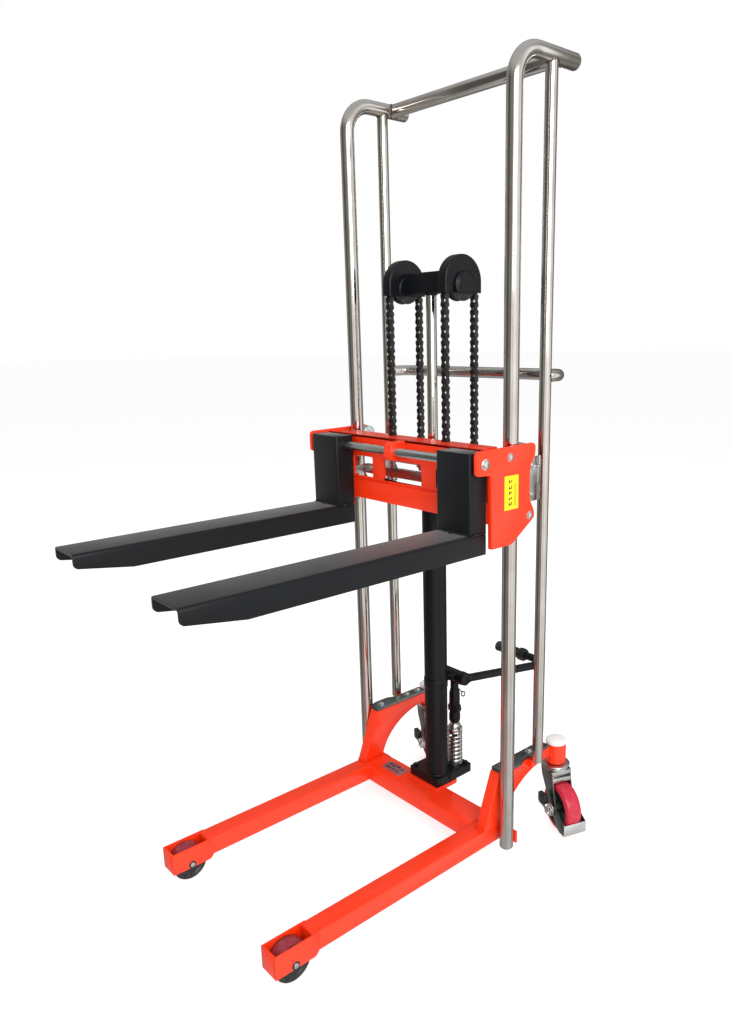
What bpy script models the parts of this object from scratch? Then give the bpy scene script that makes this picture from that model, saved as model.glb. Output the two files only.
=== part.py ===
"""Hand-hydraulic walkie stacker with two adjustable forks, built as separate jointed pieces.

The machine's own frame is used throughout: X = 0 is its mid-plane with +X to its right,
Y = 0 is the axis of the two front mast tubes with -Y towards the fork tips, and Z = 0 is
the floor. One empty carries that frame, so that the finished model stands on the centre
of its own footprint. It is drawn part-way up its lift, with the fork tops 855 mm high.
"""

from math import asin, cos, pi, radians, sin

import bmesh
import bpy
from mathutils import Matrix, Vector

MM = 0.001
GAP = 0.3 * MM                 # clearance between pieces that touch
FOOTPRINT_CENTRE = (23.5 * MM, -212.5 * MM)   # middle of the footprint, in the machine's frame

# Mast
MAST_X = 272 * MM              # mid-plane to the axes of the mast tubes
MAST_TUBE_R = 17 * MM
MAST_TUBE_WALL = 2 * MM
MAST_FOOT_Z = 37 * MM
MAST_TOP_Z = 1823 * MM         # axis of the hoops' level run
HOOP_BEND = 70 * MM
HOOP_END_Y = 190 * MM
REAR_POLE_Y = 114 * MM
REAR_POLE_R = 13.5 * MM
REAR_POLE_FOOT_Z = 224 * MM
CROSSBAR_Y = 144 * MM
CROSSBAR_R = 16 * MM
HANDLE_Y = 178 * MM
HANDLE_Z = 1178 * MM
HANDLE_BEND = 28 * MM

# Base
LEG_IN = 197 * MM
LEG_OUT = 246.5 * MM
LEG_LOW = 42 * MM
LEG_TOP = 87 * MM
LEG_REAR = 24 * MM
LEG_WALL = 4 * MM
BOX_FRONT = -652 * MM          # the box round each load roller
BOX_REAR = -545 * MM
BOX_LOW = 34 * MM
BEAM_FRONT = -59 * MM
BEAM_REAR = 9 * MM
ROLLER_Y = -604 * MM
ROLLER_R = 42 * MM
ROLLER_HALF = 19 * MM
AXLE_R = 6 * MM
BRACKET_IN = 219 * MM
BRACKET_OUT = 250 * MM
BRACKET_TOP = 227 * MM
SOCKET_X = 247 * MM
SOCKET_Y = 221 * MM
SOCKET_R = 26 * MM
SOCKET_LOW = 150.3 * MM
SOCKET_TOP = 225 * MM

# Casters
CASTER_TURN = radians(-20)     # both trail towards +X and a little forward
CASTER_TRAIL = 38 * MM
WHEEL_R = 62.5 * MM
WHEEL_HALF = 22.5 * MM
STEM_R = 12 * MM

# Lift
CYLINDER_Y = 21.5 * MM
CYLINDER_R = 30 * MM
CYLINDER_LOW = 120.3 * MM
CYLINDER_TOP = 980 * MM
ROD_R = 12.5 * MM
PULLEY_X = 95 * MM
PULLEY_Z = 1387.5 * MM
PULLEY_R = 39 * MM
CHAIN_R = 47 * MM              # pitch radius of the chain round a pulley
CHAIN_HALF_DEPTH = 7.5 * MM
CHAIN_HALF_WIDTH = 8.5 * MM
FRONT_ANCHOR_Z = 985 * MM
REAR_ANCHOR_Z = 960 * MM

# Carriage and forks
PLATE_IN = 291 * MM
PLATE_OUT = 299 * MM
SHAFT_Y = -110 * MM
SHAFT_Z = 1007 * MM
SHAFT_R = 10 * MM
GUIDE_R = 17.2 * MM
GUIDE_IN = 263 * MM
GUIDE_OUT = 281 * MM
GUIDE_PIN_R = 5 * MM
GUIDE_OFFSET = 34.5 * MM       # mast axis to the axis of a guide roller
GUIDE_ROLLERS = {
    "top_front": (-GUIDE_OFFSET, 1012 * MM),
    "top_rear": (GUIDE_OFFSET, 1020 * MM),
    "low_rear": (GUIDE_OFFSET, 877 * MM),
}
FORK_IN = 180 * MM
FORK_OUT = 282 * MM
FORK_TOP = 855 * MM
FORK_LOW = 806 * MM
FORK_TIP = -797 * MM
FORK_TAPER = -675 * MM
FORK_HEEL = -88 * MM
SHANK_FRONT = -139.5 * MM
SHANK_TOP = 1030 * MM
FORK_WALL = 6 * MM

# Pump and foot lever
PUMP_Y = 90 * MM
BLOCK_LOW = 95.3 * MM
BLOCK_TOP = 120 * MM
SPRING_R = 18 * MM
SPRING_WIRE = 2 * MM
SPRING_LOW = 122.8 * MM
SPRING_TOP = 218.5 * MM
SPRING_TURNS = 7
PIVOT_Y = 64 * MM
PIVOT_Z = 385 * MM
LEVER_TUBE = (PUMP_Y, 381 * MM)
LEVER_TUBE_R = 17 * MM
LEVER_ROD_R = 11 * MM
PEDAL = (358 * MM, 366 * MM)

SIDES = {"left": -1, "right": 1}

PAINTS = {
    "red_paint": ((0.94, 0.06, 0.02), 0.3, 0.0),
    "black_paint": ((0.012, 0.012, 0.014), 0.45, 0.0),
    "chrome": ((0.75, 0.74, 0.72), 0.15, 1.0),
    "zinc": ((0.6, 0.62, 0.63), 0.35, 1.0),
    "white_plastic": ((0.85, 0.85, 0.84), 0.4, 0.0),
    "black_plastic": ((0.015, 0.015, 0.017), 0.4, 0.0),
    "chain_steel": ((0.03, 0.03, 0.035), 0.4, 0.6),
    "red_urethane": ((0.5, 0.02, 0.05), 0.4, 0.0),
    "black_rubber": ((0.02, 0.02, 0.02), 0.8, 0.0),
    "spring_steel": ((0.8, 0.8, 0.8), 0.2, 1.0),
}


def paint(name):
    """The Principled material of that name, made the first time it is asked for."""
    found = bpy.data.materials.get(name)
    if found:
        return found
    colour, roughness, metallic = PAINTS[name]
    material = bpy.data.materials.new(name)
    material.use_nodes = True
    shader = material.node_tree.nodes["Principled BSDF"]
    shader.inputs["Base Color"].default_value = (*colour, 1)
    shader.inputs["Roughness"].default_value = roughness
    shader.inputs["Metallic"].default_value = metallic
    return material


def place(name, bm, finish, axis_point=(0, 0, 0), turn=0.0, smooth=True):
    """Makes the mesh an object whose origin is axis_point, in the machine's frame."""
    bmesh.ops.remove_doubles(bm, verts=bm.verts, dist=1e-6)
    bmesh.ops.recalc_face_normals(bm, faces=bm.faces)
    mesh = bpy.data.meshes.new(name)
    bm.to_mesh(mesh)
    bm.free()
    if smooth:
        mesh.shade_smooth()
        mesh.set_sharp_from_angle(angle=radians(35))
    obj = bpy.data.objects.new(name, mesh)
    bpy.context.scene.collection.objects.link(obj)
    if turn:
        obj.rotation_euler[2] = turn
    else:
        mesh.transform(Matrix.Translation(-Vector(axis_point)))
    obj.location = axis_point
    obj.parent = machine
    if finish:
        mesh.materials.append(paint(finish))
    return obj


def boolean(obj, tool, operation):
    """Cuts or joins obj with tool, and hides the tool."""
    modifier = obj.modifiers.new(operation.lower(), "BOOLEAN")
    modifier.operation = operation
    modifier.solver = "EXACT"
    modifier.object = tool
    tool.hide_render = True
    tool.display_type = "WIRE"
    return obj


def cut(obj, bm):
    """Takes one closed shape, or several that don't meet, out of obj."""
    return boolean(obj, place(obj.name + "_cutter", bm, None, smooth=False), "DIFFERENCE")


def add_block(bm, low, high):
    """Adds a box between two opposite corners."""
    low, high = Vector(low), Vector(high)
    size = high - low
    matrix = Matrix.Translation((low + high) / 2) @ Matrix.Diagonal((*size, 1))
    bmesh.ops.create_cube(bm, size=1, matrix=matrix)


def block(low, high):
    bm = bmesh.new()
    add_block(bm, low, high)
    return bm


def add_prism(bm, outline, low, high, axis="X"):
    """Adds the outline, extruded along axis from low to high. Its points leave that axis out."""
    level = "XYZ".index(axis)
    corners = [bm.verts.new((*pair[:level], low, *pair[level:])) for pair in outline]
    base = bm.faces.new(corners)
    grown = bmesh.ops.extrude_face_region(bm, geom=[base])
    moved = [v for v in grown["geom"] if isinstance(v, bmesh.types.BMVert)]
    shift = Vector((0, 0, 0))
    shift[level] = high - low
    bmesh.ops.translate(bm, verts=moved, vec=shift)


def add_turned(bm, profile, centre, axis="Z", steps=24, swing=2 * pi):
    """Spins a closed profile of (radius, height) points about an axis through centre."""
    points = [bm.verts.new((r, 0, h)) for r, h in profile]
    pairs = list(zip(points, points[1:] + points[:1]))
    on_axis = [a.co.x == 0 and b.co.x == 0 for a, b in pairs]
    wires = [bm.edges.new(pair) for pair, skip in zip(pairs, on_axis) if not skip]
    spun = bmesh.ops.spin(
        bm, geom=points + wires, cent=(0, 0, 0), axis=(0, 0, 1), angle=swing,
        steps=steps, use_merge=swing == 2 * pi, use_duplicate=False,
    )
    made = {v for edge in wires for v in edge.verts}
    made |= {item for item in spun["geom_last"] if isinstance(item, bmesh.types.BMVert)}
    seen = set(made)
    stack = list(made)
    while stack:
        vert = stack.pop()
        for edge in vert.link_edges:
            other = edge.other_vert(vert)
            if other not in seen:
                seen.add(other)
                stack.append(other)
    turn = {
        "X": Matrix.Rotation(radians(90), 4, "Y"),
        "Y": Matrix.Rotation(radians(-90), 4, "X"),
        "Z": Matrix.Identity(4),
    }[axis]
    bmesh.ops.transform(bm, matrix=Matrix.Translation(centre) @ turn, verts=list(seen))


def turned(profile, centre, axis="Z", steps=24):
    bm = bmesh.new()
    add_turned(bm, profile, centre, axis, steps)
    return bm


def pin(radius, low, high):
    """Profile of a plain pin."""
    return [(0, low), (radius, low), (radius, high), (0, high)]


def ring(inner, outer, low, high):
    """Profile of a plain ring."""
    return [(inner, low), (outer, low), (outer, high), (inner, high)]


def add_sweep(bm, path, radius, sides=12, wall=0.0):
    """Adds a round bar, or a tube where a wall is given, along a path of points."""
    path = [Vector(p) for p in path]
    runs = [(b - a).normalized() for a, b in zip(path, path[1:])]
    heads = [runs[0]] + [(a + b).normalized() for a, b in zip(runs, runs[1:])] + [runs[-1]]
    side = heads[0].orthogonal().normalized()
    shells = [radius, radius - wall] if wall else [radius]
    rings = {r: [] for r in shells}
    for head, spot in zip(heads, path):
        side = (side - head * side.dot(head)).normalized()
        other = head.cross(side)
        for r in shells:
            angles = [2 * pi * i / sides for i in range(sides)]
            loop = [bm.verts.new(spot + r * (cos(a) * side + sin(a) * other)) for a in angles]
            rings[r].append(loop)
    for r in shells:
        for near, far in zip(rings[r], rings[r][1:]):
            for i in range(sides):
                j = (i + 1) % sides
                bm.faces.new((near[i], near[j], far[j], far[i]))
    for end in (0, -1):
        if wall:
            outer, inner = rings[radius][end], rings[radius - wall][end]
            for i in range(sides):
                j = (i + 1) % sides
                bm.faces.new((outer[i], outer[j], inner[j], inner[i]))
        else:
            bm.faces.new(rings[radius][end])


def sweep(path, radius, sides=12, wall=0.0):
    bm = bmesh.new()
    add_sweep(bm, path, radius, sides, wall)
    return bm


def bend(centre, start, end, steps=6):
    """Points of a quarter bend from start to end about its centre."""
    centre, start, end = Vector(centre), Vector(start), Vector(end)
    a, b = start - centre, end - centre
    angles = [pi / 2 * i / steps for i in range(steps + 1)]
    return [centre + cos(t) * a + sin(t) * b for t in angles]


def mast():
    """Chromed hoops, rear poles, crossbar, push handle and the zinc brace."""
    for side, s in SIDES.items():
        x = s * MAST_X
        start = (x, 0, MAST_TOP_Z - HOOP_BEND)
        corner = bend((x, HOOP_BEND, MAST_TOP_Z - HOOP_BEND), start, (x, HOOP_BEND, MAST_TOP_Z))
        route = [(x, 0, MAST_FOOT_Z), *corner, (x, HOOP_END_Y, MAST_TOP_Z)]
        place(f"mast_hoop_{side}", sweep(route, MAST_TUBE_R, 16, MAST_TUBE_WALL), "chrome")
        pole_top = MAST_TOP_Z - MAST_TUBE_R - GAP
        pole = [(x, REAR_POLE_Y, REAR_POLE_FOOT_Z), (x, REAR_POLE_Y, pole_top)]
        place(f"rear_pole_{side}", sweep(pole, REAR_POLE_R, 16, MAST_TUBE_WALL), "chrome")

    reach = MAST_X - MAST_TUBE_R - GAP
    bar = [(-reach, CROSSBAR_Y, MAST_TOP_Z), (reach, CROSSBAR_Y, MAST_TOP_Z)]
    place("top_crossbar", sweep(bar, CROSSBAR_R, 16, MAST_TUBE_WALL), "chrome")

    front = REAR_POLE_Y + REAR_POLE_R + GAP
    route = [(-MAST_X, front, HANDLE_Z)]
    for s in (-1, 1):
        out = (s * MAST_X, HANDLE_Y - HANDLE_BEND, HANDLE_Z)
        along = (s * (MAST_X - HANDLE_BEND), HANDLE_Y, HANDLE_Z)
        centre = (s * (MAST_X - HANDLE_BEND), HANDLE_Y - HANDLE_BEND, HANDLE_Z)
        points = bend(centre, out, along, 5)
        route += points if s < 0 else points[::-1]
    route.append((MAST_X, front, HANDLE_Z))
    place("push_handle", sweep(route, REAR_POLE_R, 14, MAST_TUBE_WALL), "chrome")

    plate_rear = REAR_POLE_Y - REAR_POLE_R - GAP
    plate_front = plate_rear - 8 * MM
    low, high = 936 * MM, 980 * MM
    bm = block((-MAST_X, plate_front, low), (MAST_X, plate_rear, high))
    brace = place("mast_brace", bm, "zinc", smooth=False)
    arms = bmesh.new()
    add_block(arms, (-36 * MM, 36 * MM, low + 2 * MM), (36 * MM, plate_front + MM, high - 3 * MM))
    for s in (-1, 1):
        near, far = sorted((s * 84 * MM, s * 106 * MM))
        add_block(arms, (near, 60 * MM, low + 2 * MM), (far, plate_front + MM, REAR_ANCHOR_Z - GAP))
    boolean(brace, place("brace_arms", arms, None, smooth=False), "UNION")
    seat = turned(pin(CYLINDER_R + GAP, 900 * MM, 1000 * MM), (0, CYLINDER_Y, 0), steps=32)
    cut(brace, seat)


def support_legs():
    """Straddle legs with a roller box at the tip, and the load rollers on their axles."""
    middle = (LEG_IN + LEG_OUT) / 2
    for side, s in SIDES.items():
        low_x, high_x = sorted((s * LEG_IN, s * LEG_OUT))
        outline = [
            (BOX_FRONT, BOX_LOW), (BOX_REAR, BOX_LOW), (BOX_REAR + 8 * MM, LEG_LOW),
            (LEG_REAR, LEG_LOW), (LEG_REAR, LEG_TOP), (BOX_FRONT, LEG_TOP),
        ]
        bm = bmesh.new()
        add_prism(bm, outline, low_x, high_x)
        leg = place(f"support_leg_{side}", bm, "red_paint", smooth=False)
        near, far = sorted((s * (LEG_OUT - 2 * MM), s * 288 * MM))
        clip = block((near, MAST_TUBE_R + GAP, LEG_LOW + MM), (far, LEG_REAR - MM, 75 * MM))
        boolean(leg, place(f"mast_clip_{side}", clip, None, smooth=False), "UNION")
        inner_low, inner_high = low_x + LEG_WALL, high_x - LEG_WALL
        cut(leg, block((inner_low, BOX_FRONT + 5 * MM, 0), (inner_high, -557 * MM, 0.1)))
        hollow_low = (inner_low, -560 * MM, LEG_LOW + LEG_WALL)
        hollow_high = (inner_high, LEG_REAR - 5 * MM, LEG_TOP - LEG_WALL)
        cut(leg, block(hollow_low, hollow_high))
        bore = turned(pin(AXLE_R + GAP, 0.1, 0.4), (0, ROLLER_Y, ROLLER_R), axis="X", steps=16)
        if s < 0:
            bmesh.ops.scale(bore, vec=(-1, 1, 1), verts=bore.verts)
        cut(leg, bore)
        tread = [
            (AXLE_R + GAP, -ROLLER_HALF), (ROLLER_R - 3 * MM, -ROLLER_HALF),
            (ROLLER_R, -ROLLER_HALF + 3 * MM), (ROLLER_R, ROLLER_HALF - 3 * MM),
            (ROLLER_R - 3 * MM, ROLLER_HALF), (AXLE_R + GAP, ROLLER_HALF),
        ]
        hub = (s * middle, ROLLER_Y, ROLLER_R)
        place(f"load_roller_{side}", turned(tread, hub, "X", 28), "red_urethane", hub)
        reach = (LEG_OUT - LEG_IN) / 2
        bolt = [
            (0, -reach - 5 * MM), (9 * MM, -reach - 5 * MM), (9 * MM, -reach - GAP),
            (AXLE_R, -reach - GAP), (AXLE_R, reach + GAP), (9 * MM, reach + GAP),
            (9 * MM, reach + 5 * MM), (0, reach + 5 * MM),
        ]
        place(f"roller_axle_{side}", turned(bolt, hub, "X", 12), "zinc")


def base():
    """Crossbeam with the pump plate welded to it, rear brackets, foot plates and socket caps."""
    beam_x = LEG_IN - GAP
    low, high = (-beam_x, BEAM_FRONT, LEG_LOW), (beam_x, BEAM_REAR, LEG_TOP)
    beam = place("crossbeam", block(low, high), "red_paint", smooth=False)
    hollow_low = (-0.3, BEAM_FRONT + LEG_WALL, LEG_LOW + LEG_WALL)
    cut(beam, block(hollow_low, (0.3, BEAM_REAR - LEG_WALL, LEG_TOP - LEG_WALL)))
    low, high = (-80 * MM, -20 * MM, LEG_TOP - MM), (40 * MM, 124 * MM, BLOCK_LOW - GAP)
    boolean(beam, place("pump_plate", block(low, high), None, smooth=False), "UNION")

    for side, s in SIDES.items():
        rear_bracket(side, s)
        foot_plate(side, s)
        dome = [(0, SOCKET_TOP + GAP), (28.5 * MM, SOCKET_TOP + GAP), (28.5 * MM, 231 * MM)]
        dome += [(24 * MM, 236 * MM), (0, 238 * MM)]
        cap = turned(dome, (s * SOCKET_X, SOCKET_Y, 0), steps=24)
        place(f"socket_cap_{side}", cap, "white_plastic")


def rear_bracket(side, s):
    """Arched box bracket from the leg's rear end up to the caster socket, as one weldment."""
    arch_y, arch_z, arch_a, arch_b = 188 * MM, 60 * MM, 178 * MM, 140 * MM

    def arch(grow, foot):
        """The arched underside, grown inwards by that much, from the foot's height up."""
        a, b = arch_a + grow, arch_b + grow
        first = asin((foot - arch_z) / b)
        angles = [first + (pi / 2 - first) * i / 10 for i in range(11)]
        return [(arch_y - a * cos(t), arch_z + b * sin(t)) for t in angles]

    foot = LEG_TOP + GAP
    slope = (62 * MM) / (BRACKET_TOP - foot)
    outline = [(-60 * MM, foot), *arch(0, foot), (SOCKET_Y - 20 * MM, 200 * MM)]
    outline += [(SOCKET_Y - 20 * MM, BRACKET_TOP - 9 * MM), (189 * MM, BRACKET_TOP)]
    outline += [(2 * MM, BRACKET_TOP)]
    low_x, high_x = sorted((s * BRACKET_IN, s * BRACKET_OUT))
    bm = bmesh.new()
    add_prism(bm, outline, low_x, high_x)
    bracket = place(f"rear_bracket_{side}", bm, "red_paint", smooth=False)

    inside = 95 * MM
    front = -60 * MM + slope * (inside - foot) + 5 * MM
    hollow = [(front, inside), *arch(5 * MM, inside), (186 * MM, 240 * MM)]
    hollow += [(-60 * MM + slope * (240 * MM - foot) + 5 * MM, 240 * MM)]
    bm = bmesh.new()
    add_prism(bm, hollow, low_x + 4 * MM, high_x - 4 * MM)
    cut(bracket, bm)

    tube = ring(STEM_R + GAP, SOCKET_R, SOCKET_LOW, SOCKET_TOP)
    socket = turned(tube, (s * SOCKET_X, SOCKET_Y, 0), steps=24)
    boolean(bracket, place(f"socket_tube_{side}", socket, None, smooth=False), "UNION")


def foot_plate(side, s):
    """Zinc plate bolted on the bracket, notched round the rear pole that is welded to it."""
    outline = [(225, 8), (231, 2), (244, 2), (250, 8), (250, 62), (262, 70), (281, 78), (281, 146)]
    outline += [(270, 156), (262, 186), (231, 186), (225, 180)]
    points = [(s * x * MM, y * MM) for x, y in outline]
    bm = bmesh.new()
    add_prism(bm, points, BRACKET_TOP + GAP, 235 * MM, axis="Z")
    plate = place(f"foot_plate_{side}", bm, "zinc", smooth=False)
    notch = pin(REAR_POLE_R + GAP, 0.2, 0.3)
    cut(plate, turned(notch, (s * MAST_X, REAR_POLE_Y, 0), steps=16))


def caster(side, s):
    """Swivel fork with its stem, toe guard, wheel and side brake, trailing to one side."""
    centre = (s * SOCKET_X, SOCKET_Y, 0)

    def settle(name, bm, finish, height=0.0, forward=0.0, smooth=True):
        """Places a piece drawn with its trail along +X, and its origin on its own axis."""
        bmesh.ops.translate(bm, vec=(-forward, 0, -height), verts=bm.verts)
        spot = Vector((forward, 0, height))
        spot.rotate(Matrix.Rotation(CASTER_TURN, 3, "Z"))
        return place(name, bm, finish, Vector(centre) + spot, CASTER_TURN, smooth)

    crown = [(0, 134 * MM), (33 * MM, 134 * MM), (33 * MM, 146 * MM), (26 * MM, 150 * MM)]
    crown += [(STEM_R, 150 * MM), (STEM_R, 215 * MM), (0, 215 * MM)]
    fork = settle(f"caster_fork_{side}", turned(crown, (0, 0, 0), steps=24), "zinc")
    cheek = [(-24, 136), (26, 58), (33, 50), (43, 50), (50, 58), (50, 66), (27, 136)]
    cheek = [(x * MM, z * MM) for x, z in cheek]
    cheeks = bmesh.new()
    for y in (-29 * MM, 25 * MM):
        add_prism(cheeks, cheek, y, y + 4 * MM, "Y")
    boolean(fork, settle(f"cheeks_{side}", cheeks, None, smooth=False), "UNION")
    axle = turned(pin(5 * MM, -37 * MM, 37 * MM), (CASTER_TRAIL, 0, WHEEL_R), "Y", 12)
    boolean(fork, settle(f"axle_{side}", axle, None, smooth=False), "UNION")

    edge = 6 * MM
    tread = [
        (5 * MM + GAP, -WHEEL_HALF), (WHEEL_R - edge, -WHEEL_HALF),
        (WHEEL_R - edge / 3, -WHEEL_HALF + edge / 2), (WHEEL_R, -WHEEL_HALF + 2 * edge),
        (WHEEL_R, WHEEL_HALF - 2 * edge), (WHEEL_R - edge / 3, WHEEL_HALF - edge / 2),
        (WHEEL_R - edge, WHEEL_HALF), (5 * MM + GAP, WHEEL_HALF),
    ]
    bm = turned(tread, (CASTER_TRAIL, 0, WHEEL_R), "Y", 32)
    settle(f"caster_wheel_{side}", bm, "red_urethane", WHEEL_R, CASTER_TRAIL)

    guard = block((98 * MM, -33 * MM, 15 * MM), (101 * MM, 33 * MM, 45 * MM))
    guard = settle(f"toe_guard_{side}", guard, "zinc", smooth=False)
    arm = [(30, 50), (44, 46), (70, 15), (99, 15), (99, 45), (60, 66), (48, 76), (30, 76)]
    arm = [(x * MM, z * MM) for x, z in arm]
    arms = bmesh.new()
    for y in (-33 * MM, 30.5 * MM):
        add_prism(arms, arm, y, y + 2.5 * MM, "Y")
    boolean(guard, settle(f"guard_arms_{side}", arms, None, smooth=False), "UNION")
    hub = (CASTER_TRAIL, 0, WHEEL_R)
    hole = turned(pin(5 * MM + GAP, -50 * MM, 50 * MM), hub, "Y", 12)
    boolean(guard, settle(f"guard_hole_{side}", hole, None, smooth=False), "DIFFERENCE")

    disc = turned(ring(5 * MM + GAP, 14 * MM, -48 * MM, -34 * MM), hub, "Y", 16)
    brake = settle(f"brake_lever_{side}", disc, "zinc", WHEEL_R, CASTER_TRAIL)
    low, high = (0, -47 * MM, 68 * MM), (34 * MM, -38 * MM, 90 * MM)
    tab = settle(f"brake_tab_{side}", block(low, high), None, smooth=False)
    boolean(brake, tab, "UNION")


def lift():
    """Cylinder, rod, crosshead, chain pulleys and the four chain runs."""
    bore, gland = CYLINDER_R - 4.5 * MM, ROD_R + GAP
    shell = [
        (0, CYLINDER_LOW), (CYLINDER_R, CYLINDER_LOW), (CYLINDER_R, CYLINDER_TOP),
        (gland, CYLINDER_TOP), (gland, CYLINDER_TOP - 40 * MM), (bore, CYLINDER_TOP - 42 * MM),
        (bore, CYLINDER_LOW + 20 * MM), (0, CYLINDER_LOW + 20 * MM),
    ]
    centre = (0, CYLINDER_Y, 0)
    place("lift_cylinder", turned(shell, centre, steps=32), "black_paint")
    rod_foot, rod_top = 560 * MM, 1364 * MM - GAP
    rod = [(0, rod_foot), (bore - GAP, rod_foot), (bore - GAP, rod_foot + 22 * MM)]
    rod += [(ROD_R, rod_foot + 22 * MM), (ROD_R, rod_top), (0, rod_top)]
    place("piston_rod", turned(rod, centre, steps=24), "chrome")

    beam_low, beam_high = 1364 * MM, 1413 * MM
    low, high = (-120 * MM, 5 * MM, beam_low), (120 * MM, 38 * MM, beam_high)
    head = place("crosshead", block(low, high), "black_paint", smooth=False)
    cover_r, cover_low, half = 58 * MM, 1362.5 * MM, 14 * MM
    hoods, pockets = bmesh.new(), bmesh.new()
    pins = bmesh.new()
    for side, s in SIDES.items():
        x = s * PULLEY_X
        add_prism(hoods, dome_outline(cover_r, cover_low), x - half, x + half)
        pocket = dome_outline(cover_r - 2.6 * MM, cover_low - 20 * MM)
        add_prism(pockets, pocket, x - half + 3 * MM, x + half - 3 * MM)
        hub = (x, CYLINDER_Y, PULLEY_Z)
        reach = half - 2 * MM
        add_turned(pins, pin(7 * MM, -reach, reach), hub, "X", 16)
        depth = CHAIN_HALF_DEPTH
        wrap = ring(CHAIN_R - depth, CHAIN_R + depth, -CHAIN_HALF_WIDTH, CHAIN_HALF_WIDTH)
        bm = bmesh.new()
        add_half_ring(bm, wrap, hub)
        place(f"chain_wrap_{side}", bm, "chain_steel")
    boolean(head, place("crosshead_hoods", hoods, None, smooth=False), "UNION")
    cut(head, pockets)
    boolean(head, place("pulley_pins", pins, None, smooth=False), "UNION")

    for side, s in SIDES.items():
        groove = 6 * MM
        wheel = [
            (7 * MM + GAP, -CHAIN_HALF_WIDTH), (PULLEY_R, -CHAIN_HALF_WIDTH),
            (PULLEY_R, CHAIN_HALF_WIDTH), (7 * MM + GAP, CHAIN_HALF_WIDTH),
        ]
        rim = [(PULLEY_R, -groove), (PULLEY_R - 2 * MM, -groove / 2)]
        rim += [(PULLEY_R - 2 * MM, groove / 2), (PULLEY_R, groove)]
        hub = (s * PULLEY_X, CYLINDER_Y, PULLEY_Z)
        pulley = turned(wheel[:2] + rim + wheel[2:], hub, "X", 28)
        place(f"chain_pulley_{side}", pulley, "black_paint", hub)

    for name, y, foot in (
        ("front_chain", CYLINDER_Y - CHAIN_R, FRONT_ANCHOR_Z),
        ("rear_chain", CYLINDER_Y + CHAIN_R, REAR_ANCHOR_Z),
    ):
        for side, s in SIDES.items():
            low = (s * PULLEY_X - CHAIN_HALF_WIDTH, y - CHAIN_HALF_DEPTH, foot + GAP)
            high = (s * PULLEY_X + CHAIN_HALF_WIDTH, y + CHAIN_HALF_DEPTH, PULLEY_Z - GAP)
            place(f"{name}_{side}", block(low, high), "chain_steel", smooth=False)


def dome_outline(radius, foot):
    """Half disc over the pulley's centre, with straight sides down to the foot."""
    angles = [pi * i / 16 for i in range(17)]
    points = [(CYLINDER_Y + radius * cos(t), PULLEY_Z + radius * sin(t)) for t in angles]
    return [(CYLINDER_Y + radius, foot), *points, (CYLINDER_Y - radius, foot)]


def add_half_ring(bm, profile, centre, steps=14):
    """Adds the upper half of a ring about an axis along X."""
    loops = []
    for i in range(steps + 1):
        t = pi * i / steps
        spots = [(h, r * cos(t), r * sin(t)) for r, h in profile]
        loops.append([bm.verts.new(Vector(centre) + Vector(spot)) for spot in spots])
    count = len(profile)
    for near, far in zip(loops, loops[1:]):
        for i in range(count):
            j = (i + 1) % count
            bm.faces.new((near[i], near[j], far[j], far[i]))
    bm.faces.new(loops[0])
    bm.faces.new(loops[-1])


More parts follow.
